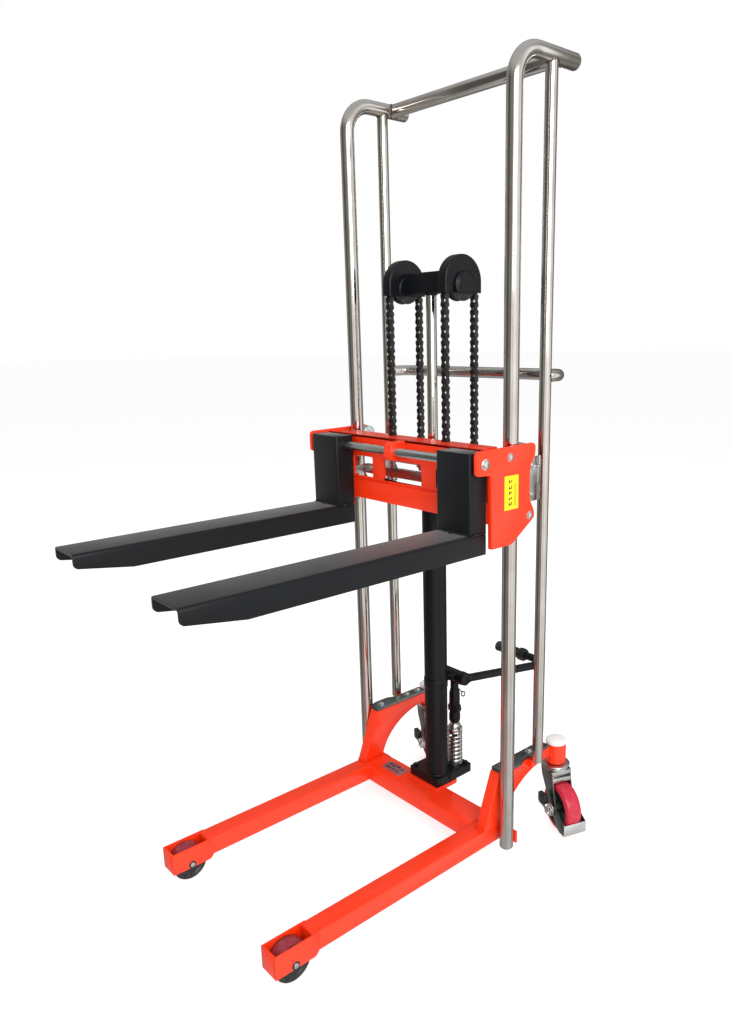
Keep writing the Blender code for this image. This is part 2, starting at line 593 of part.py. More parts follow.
def carriage():
    """Side plates with their roller pins, front plate, fork shaft, chain anchor bar and rollers."""
    outline = [
        (-143.5, 1028), (-142.3, 990), (-138, 985), (-114.8, 981), (-97, 981), (-93.5, 822),
        (-90, 819), (-23.7, 819), (-10.3, 828), (49.5, 868), (51, 884), (40, 903), (35, 930),
        (35, 990), (52, 1018), (52, 1028), (44, 1037), (32, 1038), (-136, 1035),
    ]
    points = [(y * MM, z * MM) for y, z in outline]
    half = (GUIDE_OUT - GUIDE_IN) / 2
    tread = [
        (GUIDE_PIN_R + GAP, -half), (GUIDE_R - MM, -half), (GUIDE_R, -half + MM),
        (GUIDE_R, half - MM), (GUIDE_R - MM, half), (GUIDE_PIN_R + GAP, half),
    ]
    for side, s in SIDES.items():
        low_x, high_x = sorted((s * PLATE_IN, s * PLATE_OUT))
        bm = bmesh.new()
        add_prism(bm, points, low_x, high_x)
        plate = place(f"carriage_side_{side}", bm, "red_paint", smooth=False)
        middle = s * (PLATE_IN + PLATE_OUT) / 2
        hole = turned(pin(6 * MM + GAP, -10 * MM, 10 * MM), (middle, SHAFT_Y, SHAFT_Z), "X", 12)
        cut(plate, hole)
        pins = bmesh.new()
        for name, (y, z) in GUIDE_ROLLERS.items():
            add_guide_pin(pins, s, y, z, name != "top_rear")
            hub = (s * (GUIDE_IN + GUIDE_OUT) / 2, y, z)
            roller = turned(tread, hub, "X", 24)
            place(f"guide_roller_{name}_{side}", roller, "zinc", hub)
        boolean(plate, place(f"guide_pins_{side}", pins, None, smooth=False), "UNION")

    front_plate()
    reach = PLATE_IN - GAP
    neck, head, cap = 6 * MM, 12 * MM, PLATE_OUT + GAP
    half = [(SHAFT_R, reach), (neck, reach), (neck, cap), (head, cap), (head, cap + 7 * MM)]
    profile = [(0, -cap - 7 * MM), *[(r, -h) for r, h in half[::-1]], *half, (0, cap + 7 * MM)]
    shaft = turned(profile, (0, SHAFT_Y, SHAFT_Z), "X", 24)
    place("fork_shaft", shaft, "chrome")

    bar = block((-210 * MM, -33 * MM, 925 * MM), (210 * MM, -17 * MM, 948 * MM))
    bar = place("chain_anchor_bar", bar, "zinc", smooth=False)
    extras = bmesh.new()
    for s in (-1, 1):
        near, far = sorted((s * 200 * MM, s * 210 * MM))
        add_block(extras, (near, -75 * MM + GAP, 927 * MM), (far, -30 * MM, 946 * MM))
        spot = (s * PULLEY_X, CYLINDER_Y - CHAIN_R, 0)
        add_turned(extras, pin(5 * MM, 940 * MM, FRONT_ANCHOR_Z), spot, steps=12)
    boolean(bar, place("anchor_bolts", extras, None, smooth=False), "UNION")


def add_guide_pin(bm, s, y, z, headed):
    """Pin of one guide roller, through the side plate, with a head outside it where it has one."""
    middle = (PLATE_IN + PLATE_OUT) / 2
    inner = GUIDE_IN - MM - middle
    face = PLATE_OUT - middle
    profile = [(0, inner), (GUIDE_PIN_R, inner), (GUIDE_PIN_R, face - MM)]
    if headed:
        profile += [(9 * MM, face - MM), (9 * MM, face + 4 * MM), (0, face + 6 * MM)]
    else:
        profile += [(0, face - MM)]
    if s < 0:
        profile = [(r, -h) for r, h in profile[::-1]]
    add_turned(bm, profile, (s * middle, y, z), "X", 12)


def front_plate():
    """Pressed front plate with a thick lower bar, a top flange, three windows and the shaft lug."""
    profile = [(-87.5, 873), (-75, 873), (-75, 1025), (-17, 1025), (-17, 1031), (-81, 1031)]
    profile += [(-81, 921), (-87.5, 921)]
    bm = bmesh.new()
    reach = PLATE_IN - GAP
    add_prism(bm, [(y * MM, z * MM) for y, z in profile], -reach, reach)
    plate = place("carriage_front", bm, "red_paint", smooth=False)
    gaps = bmesh.new()
    add_block(gaps, (-66 * MM, -95 * MM, 928 * MM), (66 * MM, -60 * MM, 979 * MM))
    for s in (-1, 1):
        for near, far, front, rear, low, high in (
            (111, 170, -95, -60, 928, 979),
            (250, 300, -72, 0, 1010, 1040),
            (82, 108, -36, 0, 1010, 1040),
        ):
            a, b = sorted((s * near * MM, s * far * MM))
            add_block(gaps, (a, front * MM, low * MM), (b, rear * MM, high * MM))
    cut(plate, gaps)
    lug = bmesh.new()
    outline = [(-80, 990), (-110, 990), (-124, 998), (-126, 1012), (-118, 1022), (-80, 1030)]
    add_prism(lug, [(y * MM, z * MM) for y, z in outline], -11 * MM, 11 * MM)
    boolean(plate, place("shaft_lug", lug, None, smooth=False), "UNION")
    hole = pin(SHAFT_R + GAP, -20 * MM, 20 * MM)
    cut(plate, turned(hole, (0, SHAFT_Y, SHAFT_Z), "X", 24))


def forks():
    """Folded channel blades that straddle the legs, each with a boxed shank hung on the shaft."""
    for side, s in SIDES.items():
        low_x, high_x = sorted((s * FORK_IN, s * FORK_OUT))
        outline = [
            (FORK_TIP, FORK_TOP - 30 * MM), (FORK_TAPER, FORK_LOW), (FORK_HEEL, FORK_LOW),
            (FORK_HEEL, SHANK_TOP), (SHANK_FRONT, SHANK_TOP), (SHANK_FRONT, FORK_TOP),
            (FORK_TIP, FORK_TOP),
        ]
        bm = bmesh.new()
        add_prism(bm, outline, low_x, high_x)
        axis = (s * (FORK_IN + FORK_OUT) / 2, SHAFT_Y, SHAFT_Z)
        fork = place(f"fork_{side}", bm, "black_paint", axis, smooth=False)
        low = (low_x + FORK_WALL, FORK_TIP - 0.01, 0.7)
        cut(fork, block(low, (high_x - FORK_WALL, FORK_HEEL + 0.01, FORK_TOP - FORK_WALL)))
        low = (low_x + FORK_WALL, SHANK_FRONT + FORK_WALL, FORK_TOP)
        cut(fork, block(low, (high_x - FORK_WALL, FORK_HEEL + 0.01, SHANK_TOP - FORK_WALL)))
        hole = pin(SHAFT_R + GAP, -0.08, 0.08)
        cut(fork, turned(hole, axis, "X", 24))


def pump():
    """Pump block, barrel, return spring, plunger with its link, and the lowering valve knob."""
    low, high = (-76 * MM, -10 * MM, BLOCK_LOW), (34 * MM, 120 * MM, BLOCK_TOP)
    place("pump_block", block(low, high), "black_paint", smooth=False)
    centre = (0, PUMP_Y, 0)
    foot = BLOCK_TOP + GAP
    barrel = [(0, foot), (14 * MM, foot), (14 * MM, 195 * MM), (8.5 * MM, 195 * MM)]
    barrel += [(8.5 * MM, 130 * MM), (0, 130 * MM)]
    place("pump_barrel", turned(barrel, centre, steps=20), "zinc")
    head = LEVER_TUBE[1] - LEVER_TUBE_R - 0.9 * MM
    plunger = [
        (0, 150), (8, 150), (8, 221), (21, 221), (21, 228), (16, 240), (10, 246), (10, 262),
        (15, 270), (15, 330), (11, 345),
    ]
    profile = [(r * MM, z * MM) for r, z in plunger] + [(11 * MM, head), (0, head)]
    place("pump_plunger", turned(profile, centre, steps=20), "black_paint")

    turns = SPRING_TURNS * 12
    rise = (SPRING_TOP - SPRING_LOW) / turns
    route = []
    for i in range(turns + 1):
        t = 2 * pi * i / 12
        route.append((SPRING_R * cos(t), PUMP_Y + SPRING_R * sin(t), SPRING_LOW + rise * i))
    place("pump_spring", sweep(route, SPRING_WIRE, 6), "spring_steel")

    knob_centre = (-52 * MM, 62 * MM, 0)
    knob = [(0, 120.3), (9, 120.3), (9, 150), (13, 152), (13, 164), (11, 166), (0, 166)]
    profile = [(r * MM, z * MM) for r, z in knob]
    place("release_knob", turned(profile, knob_centre, steps=16), "black_plastic", knob_centre)


def foot_lever():
    """Clamp bracket on the cylinder, and the lever with its cross tube, rod and pedal bar."""
    clamp = turned(
        ring(CYLINDER_R + GAP, 36 * MM, 368 * MM, 402 * MM), (0, CYLINDER_Y, 0), steps=32
    )
    bracket = place("lever_bracket", clamp, "black_paint")
    ears = bmesh.new()
    for s in (-1, 1):
        near, far = sorted((s * 5 * MM, s * 12 * MM))
        add_block(ears, (near, 54 * MM, 379 * MM), (far, 69.5 * MM, 392 * MM))
    pivot = (0, PIVOT_Y, PIVOT_Z)
    boolean(bracket, place("bracket_ears", ears, None, smooth=False), "UNION")
    bolt = turned(pin(4 * MM, -22 * MM, 22 * MM), pivot, "X", 12)
    boolean(bracket, place("pivot_bolt", bolt, None, smooth=False), "UNION")

    tube = turned(pin(LEVER_TUBE_R, -40 * MM, 46 * MM), (0, *LEVER_TUBE), "X", 24)
    lever = place("foot_lever", tube, "black_paint", pivot)
    pedal_y, pedal_z = PEDAL
    elbow = bend(
        (60 * MM, pedal_y - 25 * MM, pedal_z), (85 * MM, pedal_y - 25 * MM, pedal_z),
        (60 * MM, pedal_y, pedal_z), 5,
    )
    route = [(36 * MM, LEVER_TUBE[0] + 6 * MM, 380 * MM), *elbow, (-86 * MM, pedal_y, pedal_z)]
    boolean(lever, place("lever_rod", sweep(route, LEVER_ROD_R, 12), None, smooth=False), "UNION")
    arm = [(57, 385), (60, 377), (86, 377), (86, 393), (57, 393)]
    arms = bmesh.new()
    for s in (-1, 1):
        near, far = sorted((s * 12.8 * MM, s * 19 * MM))
        add_prism(arms, [(y * MM, z * MM) for y, z in arm], near, far)
    boolean(lever, place("lever_arms", arms, None, smooth=False), "UNION")
    hole = turned(pin(4 * MM + GAP, -24 * MM, 24 * MM), pivot, "X", 12)
    boolean(lever, place("lever_hole", hole, None, smooth=False), "DIFFERENCE")

    sleeve = ring(LEVER_ROD_R + GAP, 14 * MM, -84 * MM, 22 * MM)
    sleeve = turned(sleeve, (0, pedal_y, pedal_z), "X", 20)
    place("pedal_sleeve", sleeve, "black_rubber", pivot)


for old in list(bpy.data.objects):
    bpy.data.objects.remove(old)
machine = bpy.data.objects.new("machine_frame", None)
machine.location = (-FOOTPRINT_CENTRE[0], -FOOTPRINT_CENTRE[1], 0)
bpy.context.scene.collection.objects.link(machine)

mast()
support_legs()
base()
for side_name, side_sign in SIDES.items():
    caster(side_name, side_sign)
lift()
carriage()
forks()
pump()
foot_lever()
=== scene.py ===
"""Looks of a hand-hydraulic walkie stacker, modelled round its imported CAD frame.

Shapes are drawn in millimetres in the machine's own frame: X = 0 is its mid-plane with +X to
its right, Y = 0 is the axis of the two front mast tubes with -Y towards the fork tips, and
Z = 0 is the floor. settle() turns a finished mesh into metres in the row's frame.
"""

from math import asin, atan2, cos, pi, radians, sin, sqrt

import bmesh
import bpy
from bpy.props import FloatProperty, FloatVectorProperty, IntProperty, PointerProperty
from mathutils import Matrix, Quaternion, Vector


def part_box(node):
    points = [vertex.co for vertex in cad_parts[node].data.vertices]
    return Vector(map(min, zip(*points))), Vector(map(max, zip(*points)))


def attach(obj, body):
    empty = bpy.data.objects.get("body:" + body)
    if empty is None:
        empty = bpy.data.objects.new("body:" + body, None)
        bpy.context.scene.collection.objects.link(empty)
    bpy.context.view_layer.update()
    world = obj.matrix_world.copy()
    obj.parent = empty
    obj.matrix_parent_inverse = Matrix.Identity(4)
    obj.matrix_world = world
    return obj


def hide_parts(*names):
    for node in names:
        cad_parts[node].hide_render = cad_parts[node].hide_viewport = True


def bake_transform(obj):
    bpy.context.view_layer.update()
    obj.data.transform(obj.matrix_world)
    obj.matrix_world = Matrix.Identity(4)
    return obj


bl_info = {
    "name": "Walkie stacker",
    "version": (1, 0, 0),
    "blender": (4, 5, 0),
    "location": "3D View > Sidebar > Stacker",
    "description": "Models the visible pieces of a hand-hydraulic walkie stacker",
    "category": "Add Mesh",
}

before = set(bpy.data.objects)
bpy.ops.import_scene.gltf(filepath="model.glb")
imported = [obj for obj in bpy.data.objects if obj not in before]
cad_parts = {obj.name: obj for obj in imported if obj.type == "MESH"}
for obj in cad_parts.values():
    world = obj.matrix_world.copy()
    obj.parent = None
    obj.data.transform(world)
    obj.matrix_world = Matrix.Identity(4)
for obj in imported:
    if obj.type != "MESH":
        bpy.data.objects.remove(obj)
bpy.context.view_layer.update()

MM = 0.001
CYLINDER_Y = 21.5              # mast axis to the lift cylinder's axis
PULLEY_X, PULLEY_Z = 95, 1387.5
CHAIN_R = 47                   # pitch radius of a chain round its pulley
MAST_X = 272                   # mid-plane to the hoops' and the rear poles' axes
HOOP_R, POLE_R = 17, 13.5
POLE_Y = 114
HANDLE_Z = 1178                # push handle's axis over the floor
SOCKET_X, SOCKET_Y = 247, 221  # swivel axis of the right caster
CASTER_TURN = -20              # degrees from +X that both casters trail at
CASTER_TRAIL = 38
BEND_STEP = 7.5                # degrees of a tube's bend in each facet
WIDE_EDGE = 1.5                # from here up a plate's rounding takes its corners as well
SIDES = (("left", -1), ("right", 1))
X, Y, Z = (1, 0, 0), (0, 1, 0), (0, 0, 1)

_low, _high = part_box("lift_cylinder")
ORIGIN = Vector(((_low.x + _high.x) / 2, (_low.y + _high.y) / 2 - CYLINDER_Y * MM, 0))
TO_ROW = Matrix.Translation(ORIGIN) @ Matrix.Scale(MM, 4)


def linear(code):
    """An sRGB hex colour as linear RGBA."""
    parts = [int(code[i:i + 2], 16) / 255 for i in (1, 3, 5)]
    return (*[c / 12.92 if c <= 0.04045 else ((c + 0.055) / 1.055) ** 2.4 for c in parts], 1.0)


def row_point(x, y, z):
    """A point of the machine's frame in the row's frame, in metres."""
    return tuple(TO_ROW @ Vector((x, y, z)))


def span(node):
    """Lowest and highest corners of a CAD node in the machine's frame, in mm."""
    return [(corner - ORIGIN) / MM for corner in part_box(node)]


# ---------------------------------------------------------------- properties

def length(name, default, description):
    return FloatProperty(name=name, default=default, min=0, unit="LENGTH", description=description)


def colour(name, code, description):
    return FloatVectorProperty(
        name=name, default=linear(code), size=4, min=0, max=1, subtype="COLOR",
        description=description,
    )


class StackerSizes(bpy.types.PropertyGroup):
    """Sizes of the details that the CAD frame leaves open."""

    plate_edge: length("Plate edge", 0.0008, "Rounding of a cut plate's edges")
    tube_edge: length("Box tube edge", 0.004, "Outer radius of the rectangular steel tubes")
    fork_fold: length("Fork fold", 0.008, "Outer radius of the folds along a fork")
    weld: length("Weld bead", 0.0022, "Half thickness of the weld beads")
    chain_pitch: length("Chain pitch", 0.0169, "Distance from one chain pin to the next")
    bolt: length("Bolt", 0.013, "Width across the flats of the hexagon heads")
    spring_turns: IntProperty(
        name="Spring turns", default=8, min=3, max=20, description="Turns of the pump spring"
    )


class StackerColours(bpy.types.PropertyGroup):
    """Colours of the finishes."""

    red: colour("Red paint", "#F8360A", "Gloss powder coat of the base and the carriage")
    black: colour("Black paint", "#0B0E12", "Satin powder coat of the forks and the lift")
    chrome: colour("Chrome", "#DAD7D2", "Chromium plate of the mast tubes")
    zinc: colour("Zinc", "#C4C8C8", "Bright zinc plate of the fittings")
    tread: colour("Caster tread", "#C01D38", "Cast urethane of the caster treads")
    roller: colour("Roller tread", "#8E2636", "Cast urethane of the load rollers")
    cap: colour("Cap", "#E6E3E2", "Moulded caps on the caster sockets")
    notice: colour("Notice", "#FFE000", "Vinyl of the notice on the carriage")


# ----------------------------------------------------------------- materials

def add_node(tree, kind, settings=None, links=None):
    """Adds a node. Settings are its own properties or its inputs' values, links its input links."""
    made = tree.nodes.new(kind)
    for key, value in (settings or {}).items():
        if isinstance(key, str) and hasattr(made, key):
            setattr(made, key, value)
        else:
            made.inputs[key].default_value = value
    for key, socket in (links or {}).items():
        tree.links.new(socket, made.inputs[key])
    return made


def start_material(name, base, settings):
    """A Principled material with its constants set, and the Object coordinates for its patterns."""
    material = bpy.data.materials.new(name)
    material.use_nodes = True
    material.diffuse_color = base
    tree = material.node_tree
    shader = tree.nodes["Principled BSDF"]
    shader.inputs["Base Color"].default_value = base
    for key, value in settings.items():
        shader.inputs[key].default_value = value
    place = add_node(tree, "ShaderNodeTexCoord").outputs["Object"]
    return material, tree, shader, place


def noise(tree, place, size, detail, roughness=0.5):
    """Noise from 0 to 1 with lumps of a size in metres."""
    settings = {"Scale": 1 / size, "Detail": detail, "Roughness": roughness}
    return add_node(tree, "ShaderNodeTexNoise", settings, {"Vector": place}).outputs["Fac"]


def remap(tree, value, low, high, start=0.0, end=1.0, curve="LINEAR"):
    """A value that runs from low to high, taken to run from start to end."""
    settings = {
        "interpolation_type": curve, "From Min": low, "From Max": high, "To Min": start,
        "To Max": end,
    }
    return add_node(tree, "ShaderNodeMapRange", settings, {"Value": value}).outputs[0]


def mix(tree, share, first, second):
    """The first colour, which can be a socket, turning into the second by a share."""
    made = add_node(tree, "ShaderNodeMix", {"data_type": "RGBA", 7: second}, {0: share})
    if isinstance(first, bpy.types.NodeSocket):
        tree.links.new(first, made.inputs[6])
    else:
        made.inputs[6].default_value = first
    return made.outputs[2]


def bump(tree, height, strength, depth):
    """A normal that follows a height, in metres deep."""
    settings = {"Strength": strength, "Distance": depth}
    return add_node(tree, "ShaderNodeBump", settings, {"Height": height}).outputs[0]


def wire(tree, shader, sockets):
    """Links a socket to each named input of a shader."""
    for key, socket in sockets.items():
        tree.links.new(socket, shader.inputs[key])


def deeper(base, share):
    """A colour taken down to a share of its light."""
    return (*[c * share for c in base[:3]], 1)


def powder_coat(name, base, roughness, peel, depth, coat, shine, sheen=0.0):
    """Powder coat, sprayed and baked: an even colour under a fine orange peel, which breaks up
    its highlights, and a film that lies a little thicker and darker in clouds 90 mm across."""
    settings = {
        "Roughness": roughness, "Specular IOR Level": shine, "Coat Weight": coat,
        "Coat Roughness": 0.08, "Sheen Weight": sheen, "Sheen Roughness": 0.4,
    }
    material, tree, shader, place = start_material(name, base, settings)
    clouds = noise(tree, place, 0.09, 3)
    peeled = bump(tree, noise(tree, place, peel, 2), 0.6, depth)
    thicker = remap(tree, clouds, 0.3, 0.7, 0, 0.16)
    wire(tree, shader, {
        "Base Color": mix(tree, thicker, base, deeper(base, 0.72)),
        "Roughness": remap(tree, clouds, 0.3, 0.7, roughness * 0.85, roughness * 1.2),
        "Normal": peeled, "Coat Normal": peeled,
    })
    return material


def plated(name, base, roughness, streak, spread, tint):
    """Electroplated steel: a bright metal whose gloss wanders with the streaks that drawing or
    rolling left under the plate, and a faint tint where the plate is thinner, every 60 mm."""
    material, tree, shader, place = start_material(
        name, base, {"Metallic": 1.0, "Roughness": roughness},
    )
    along = add_node(tree, "ShaderNodeMapping", {"Scale": (1, 1, spread)}, {"Vector": place})
    lines = noise(tree, along.outputs[0], streak, 4, 0.6)
    thinner = remap(tree, noise(tree, place, 0.06, 2), 0.35, 0.75, 0, 0.5)
    wire(tree, shader, {
        "Base Color": mix(tree, thinner, base, tint),
        "Roughness": remap(tree, lines, 0.3, 0.7, roughness * 0.7, roughness * 1.5),
    })
    return material


def moulded(name, base, roughness, grain_size, depth, scuff, subsurface=0.0):
    """Moulded or cast plastic: a soft skin with the fine texture of its mould, slightly scuffed
    and paler in 18 mm patches where it has been handled or rolled."""
    settings = {"Roughness": roughness, "Subsurface Weight": subsurface, "Subsurface Scale": 0.002}
    material, tree, shader, place = start_material(name, base, settings)
    worn = remap(tree, noise(tree, place, 0.018, 5, 0.65), 0.45, 0.75, 0, scuff)
    paler = (*[c + (1 - c) * 0.35 for c in base[:3]], 1)
    grain = add_node(tree, "ShaderNodeTexVoronoi", {"Scale": 1 / grain_size}, {"Vector": place})
    wire(tree, shader, {
        "Base Color": mix(tree, worn, base, paler),
        "Normal": bump(tree, grain.outputs["Distance"], 0.5, depth),
    })
    return material


def oiled_steel(name, base):
    """Blackened chain steel under oil: dark, with brown dried oil between shinier rubbed spots,
    6 mm apart, so that the links stay legible as separate pieces."""
    material, tree, shader, place = start_material(name, base, {"Metallic": 0.85, "Roughness": 0.4})
    film = noise(tree, place, 0.006, 4, 0.7)
    wire(tree, shader, {
        "Base Color": mix(tree, remap(tree, film, 0.4, 0.65), base, linear("#3B342C")),
        "Roughness": remap(tree, film, 0.35, 0.7, 0.28, 0.6),
    })
    return material


def weld_metal(name, base, metallic):
    """A fused weld bead: lumps 2.5 mm apart in the ripples of the run, painted or heat-tinted."""
    material, tree, shader, place = start_material(
        name, base, {"Metallic": metallic, "Roughness": 0.35},
    )
    lumps = noise(tree, place, 0.0025, 3, 0.6)
    wire(tree, shader, {
        "Base Color": mix(tree, lumps, base, deeper(base, 0.55)),
        "Normal": bump(tree, lumps, 0.8, 0.0006),
    })
    return material


def printed_vinyl(name, base):
    """Screen-printed vinyl: flat strong colour, slightly uneven ink and a soft gloss."""
    material, tree, shader, place = start_material(name, base, {"Roughness": 0.38})
    uneven = mix(tree, noise(tree, place, 0.003, 3), base, deeper(base, 0.88))
    wire(tree, shader, {"Base Color": uneven})
    return material


def make_finishes():
    """Every finish by its short name."""
    hues = bpy.context.scene.stacker_colours
    hue = {key: tuple(getattr(hues, key)) for key in StackerColours.__annotations__}
    return {
        # Gloss coat over a saturated red; the peel is 1.6 mm across.
        "red": powder_coat("red gloss powder coat", hue["red"], 0.38, 0.0016, 0.00004, 0.35, 0.36),
        # Satin coat with a finer, deeper grain, 0.9 mm across, so that its shine is broad.
        "black": powder_coat(
            "black satin powder coat", hue["black"], 0.38, 0.0009, 0.00006, 0.02, 0.28,
        ),
        # The same coat on the forks, scuffed by pallets: greyer where it is seen along its face.
        "fork": powder_coat(
            "black scuffed powder coat", hue["black"], 0.46, 0.0009, 0.00006, 0.0, 0.25, 0.22,
        ),
        # Polished before plating: nearly a mirror, with faint draw lines along the tubes.
        "chrome": plated(
            "chrome on polished tube", hue["chrome"], 0.09, 0.004, 0.02, linear("#B9AFA5"),
        ),
        # Barrel-plated: duller and bluish, with a warm passivate bloom.
        "zinc": plated("bright zinc plate", hue["zinc"], 0.3, 0.003, 0.3, linear("#A9A99A")),
        # Ground bar with a thin zinc plate, greyer than the fittings.
        "bar": plated("zinc on ground bar", linear("#E0E8E6"), 0.22, 0.002, 1.0, linear("#C3CBC7")),
        # Hot-rolled plate under its zinc: dark and greenish beside the bright fittings.
        "plate": plated(
            "zinc on rolled plate", linear("#7C8583"), 0.3, 0.003, 1.0, linear("#59605D"),
        ),
        # Drawn wire: brighter and smoother than the plated sheet.
        "spring": plated(
            "zinc on spring wire", linear("#E4E6E6"), 0.2, 0.002, 1.0, linear("#C9CBCB"),
        ),
        # Etched sheet: the finest grain of the metals, 1 mm, with a broad shine.
        "etched": plated(
            "etched aluminium", linear("#BFC2C6"), 0.35, 0.001, 1.0, linear("#9FA3A8"),
        ),
        # Cast treads: a fine skin, and a little light carried inside.
        "tread": moulded("cast urethane tread", hue["tread"], 0.36, 0.0012, 0.00005, 0.1, 0.05),
        "roller": moulded("cast urethane roller", hue["roller"], 0.4, 0.0012, 0.00005, 0.15, 0.05),
        # Polyethylene lets in more light than the treads do.
        "cap": moulded("moulded polyethylene cap", hue["cap"], 0.42, 0.001, 0.00003, 0.1, 0.2),
        # Two blacks: nylon shines, rubber is matt and deeper in its grain.
        "nylon": moulded("moulded black nylon", linear("#141415"), 0.4, 0.0012, 0.00005, 0.12),
        "rubber": moulded("moulded black rubber", linear("#101011"), 0.62, 0.0014, 0.0001, 0.15),
        # Oil keeps the blackened links glossy and dark.
        "chain": oiled_steel("oiled blackened steel", linear("#4A4D52")),
        # Weld beads: two under the coat of their part, one left bare with its heat tint.
        "red_weld": weld_metal("painted weld bead", hue["red"], 0.0),
        "black_weld": weld_metal("black painted weld bead", hue["black"], 0.0),
        "tint_weld": weld_metal("heat-tinted weld bead", linear("#8E8373"), 1.0),
        # Flat printed sheet and its inks.
        "notice": printed_vinyl("printed yellow vinyl", hue["notice"]),
        "ink": printed_vinyl("printed black ink", linear("#121212")),
        "stamp": printed_vinyl("printed blue-grey ink", linear("#3A3F52")),
    }


# -------------------------------------------------------------------- shapes

def size_mm(key):
    """One of the sizes that the panel shows, in mm."""
    return getattr(bpy.context.scene.stacker_sizes, key) / MM


def mirrored(half):
    """A profile whose second half mirrors the first, given from its lower end to its middle."""
    return half + [(r, -h) for r, h in reversed(half)]


def drum(radius, low, high):
    """The profile of a plain disc or cylinder."""
    return [(0, low), (radius, low), (radius, high), (0, high)]


def aim(centre, heading):
    """Matrix that takes +Z at the origin to a heading at a centre."""
    turn = Vector(Z).rotation_difference(Vector(heading)).to_matrix().to_4x4()
    return Matrix.Translation(Vector(centre)) @ turn


def at(x, y, z, degrees=0, axis="Z"):
    """Matrix of a place, and a turn there about an axis."""
    return Matrix.Translation((x, y, z)) @ Matrix.Rotation(radians(degrees), 4, axis)


def new_verts(geometry):
    """The vertices in what a bmesh operator returns."""
    return [v for v in geometry if isinstance(v, bmesh.types.BMVert)]


def joining(verts):
    """The edges that run between vertices of a group."""
    verts = set(verts)
    return list({e for v in verts for e in v.link_edges if e.other_vert(v) in verts})


def clean(bm):
    """Merges doubles, then points the faces outwards."""
    bmesh.ops.remove_doubles(bm, verts=bm.verts, dist=0.004)
    bmesh.ops.recalc_face_normals(bm, faces=bm.faces)
    return bm


def bevel(bm, geom, width, steps, affect="EDGES"):
    """Rounds edges or vertices of a mesh."""
    bmesh.ops.bevel(
        bm, geom=geom, offset=width, offset_type="OFFSET", affect=affect, segments=steps,
        profile=0.5, material=-1, clamp_overlap=False,
    )


def whirl(bm, sides):
    """Spins the whole mesh once round Z and closes it."""
    bmesh.ops.spin(
        bm, geom=bm.verts[:] + bm.edges[:], cent=(0, 0, 0), axis=Z, angle=2 * pi, steps=sides,
        use_merge=True, use_duplicate=False,
    )
    return clean(bm)


def soften(bm, width, steps=2, sharper=30, keep=None):
    """Rounds the edges that are sharper than an angle, except those that keep() picks."""
    edges = [
        e for e in bm.edges if len(e.link_faces) == 2 and e.calc_face_angle() > radians(sharper)
    ]
    bevel(bm, [e for e in edges if not (keep and keep(e))], width, steps)
    return bm


def box(low, high, edge=1.0, steps=2):
    """A block between two corners with its edges rounded."""
    low, high = Vector(low), Vector(high)
    bm = bmesh.new()
    matrix = Matrix.LocRotScale((low + high) / 2, None, high - low)
    bmesh.ops.create_cube(bm, size=1, matrix=matrix)
    return soften(bm, edge, steps) if edge else bm


def slab(outline, low, high, axis="X", holes=(), edge=None, steps=2):
    """A plate cut to an outline, with holes, between two levels of an axis. A third number on a
    point of the outline is how far its corner is rounded back."""
    if edge is None:
        edge = size_mm("plate_edge")
    level = "XYZ".index(axis)
    bm = bmesh.new()
    rounded = {}
    for loop in (outline, *holes):
        corners = []
        for point in loop:
            vert = bm.verts.new((*point[:level], low, *point[level:2]))
            corners.append(vert)
            if len(point) > 2:
                rounded.setdefault(point[2], []).append(vert)
        for pair in zip(corners, corners[1:] + corners[:1]):
            bm.edges.new(pair)
    bmesh.ops.triangle_fill(bm, edges=bm.edges[:], use_beauty=True, use_dissolve=True)
    grown = bmesh.ops.extrude_face_region(bm, geom=bm.faces[:])
    shift = Vector((0, 0, 0))
    shift[level] = high - low
    bmesh.ops.translate(bm, verts=new_verts(grown["geom"]), vec=shift)
    bmesh.ops.recalc_face_normals(bm, faces=bm.faces)
    risers = {}
    for back, verts in rounded.items():
        for vert in verts:
            for e in vert.link_edges:
                run = e.other_vert(vert).co - vert.co
                rise = abs(run[level])
                if abs(rise - abs(high - low)) < 1e-4 and run.length - rise < 1e-4:
                    risers.setdefault(back, []).append(e)
    for back, edges in risers.items():
        bevel(bm, edges, back, 5)
    if not edge:
        return bm

    def through(e):
        """Whether a narrow rounding passes over an edge because it runs through the plate."""
        return abs((e.verts[0].co - e.verts[1].co)[level]) > 1e-3 and edge < WIDE_EDGE

    return soften(bm, edge, steps, keep=through)


def turned(profile, centre=(0, 0, 0), heading=Z, edge=0.0, sides=32):
    """A profile of (radius, height) points spun round an axis."""
    bm = bmesh.new()
    points = [bm.verts.new((r, 0, h)) for r, h in profile]
    for a, b in zip(points, points[1:] + points[:1]):
        if a.co.x > 0 or b.co.x > 0:
            bm.edges.new((a, b))
    whirl(bm, sides)
    if edge:
        soften(bm, edge, 2)
    bmesh.ops.transform(bm, matrix=aim(centre, heading), verts=bm.verts)
    return bm


def rod(radius, start, end, edge=0.5, sides=24):
    """A plain round bar between two points."""
    start, end = Vector(start), Vector(end)
    reach = (end - start).length
    profile = [(0, 0), (radius, 0), (radius, reach), (0, reach)]
    return turned(profile, start, end - start, edge, sides)


def collar(inner, outer, low, high, centre=(0, 0, 0), heading=Z, edge=0.5, sides=32):
    """A ring with a square section."""
    profile = [(inner, low), (outer, low), (outer, high), (inner, high)]
    return turned(profile, centre, heading, edge, sides)


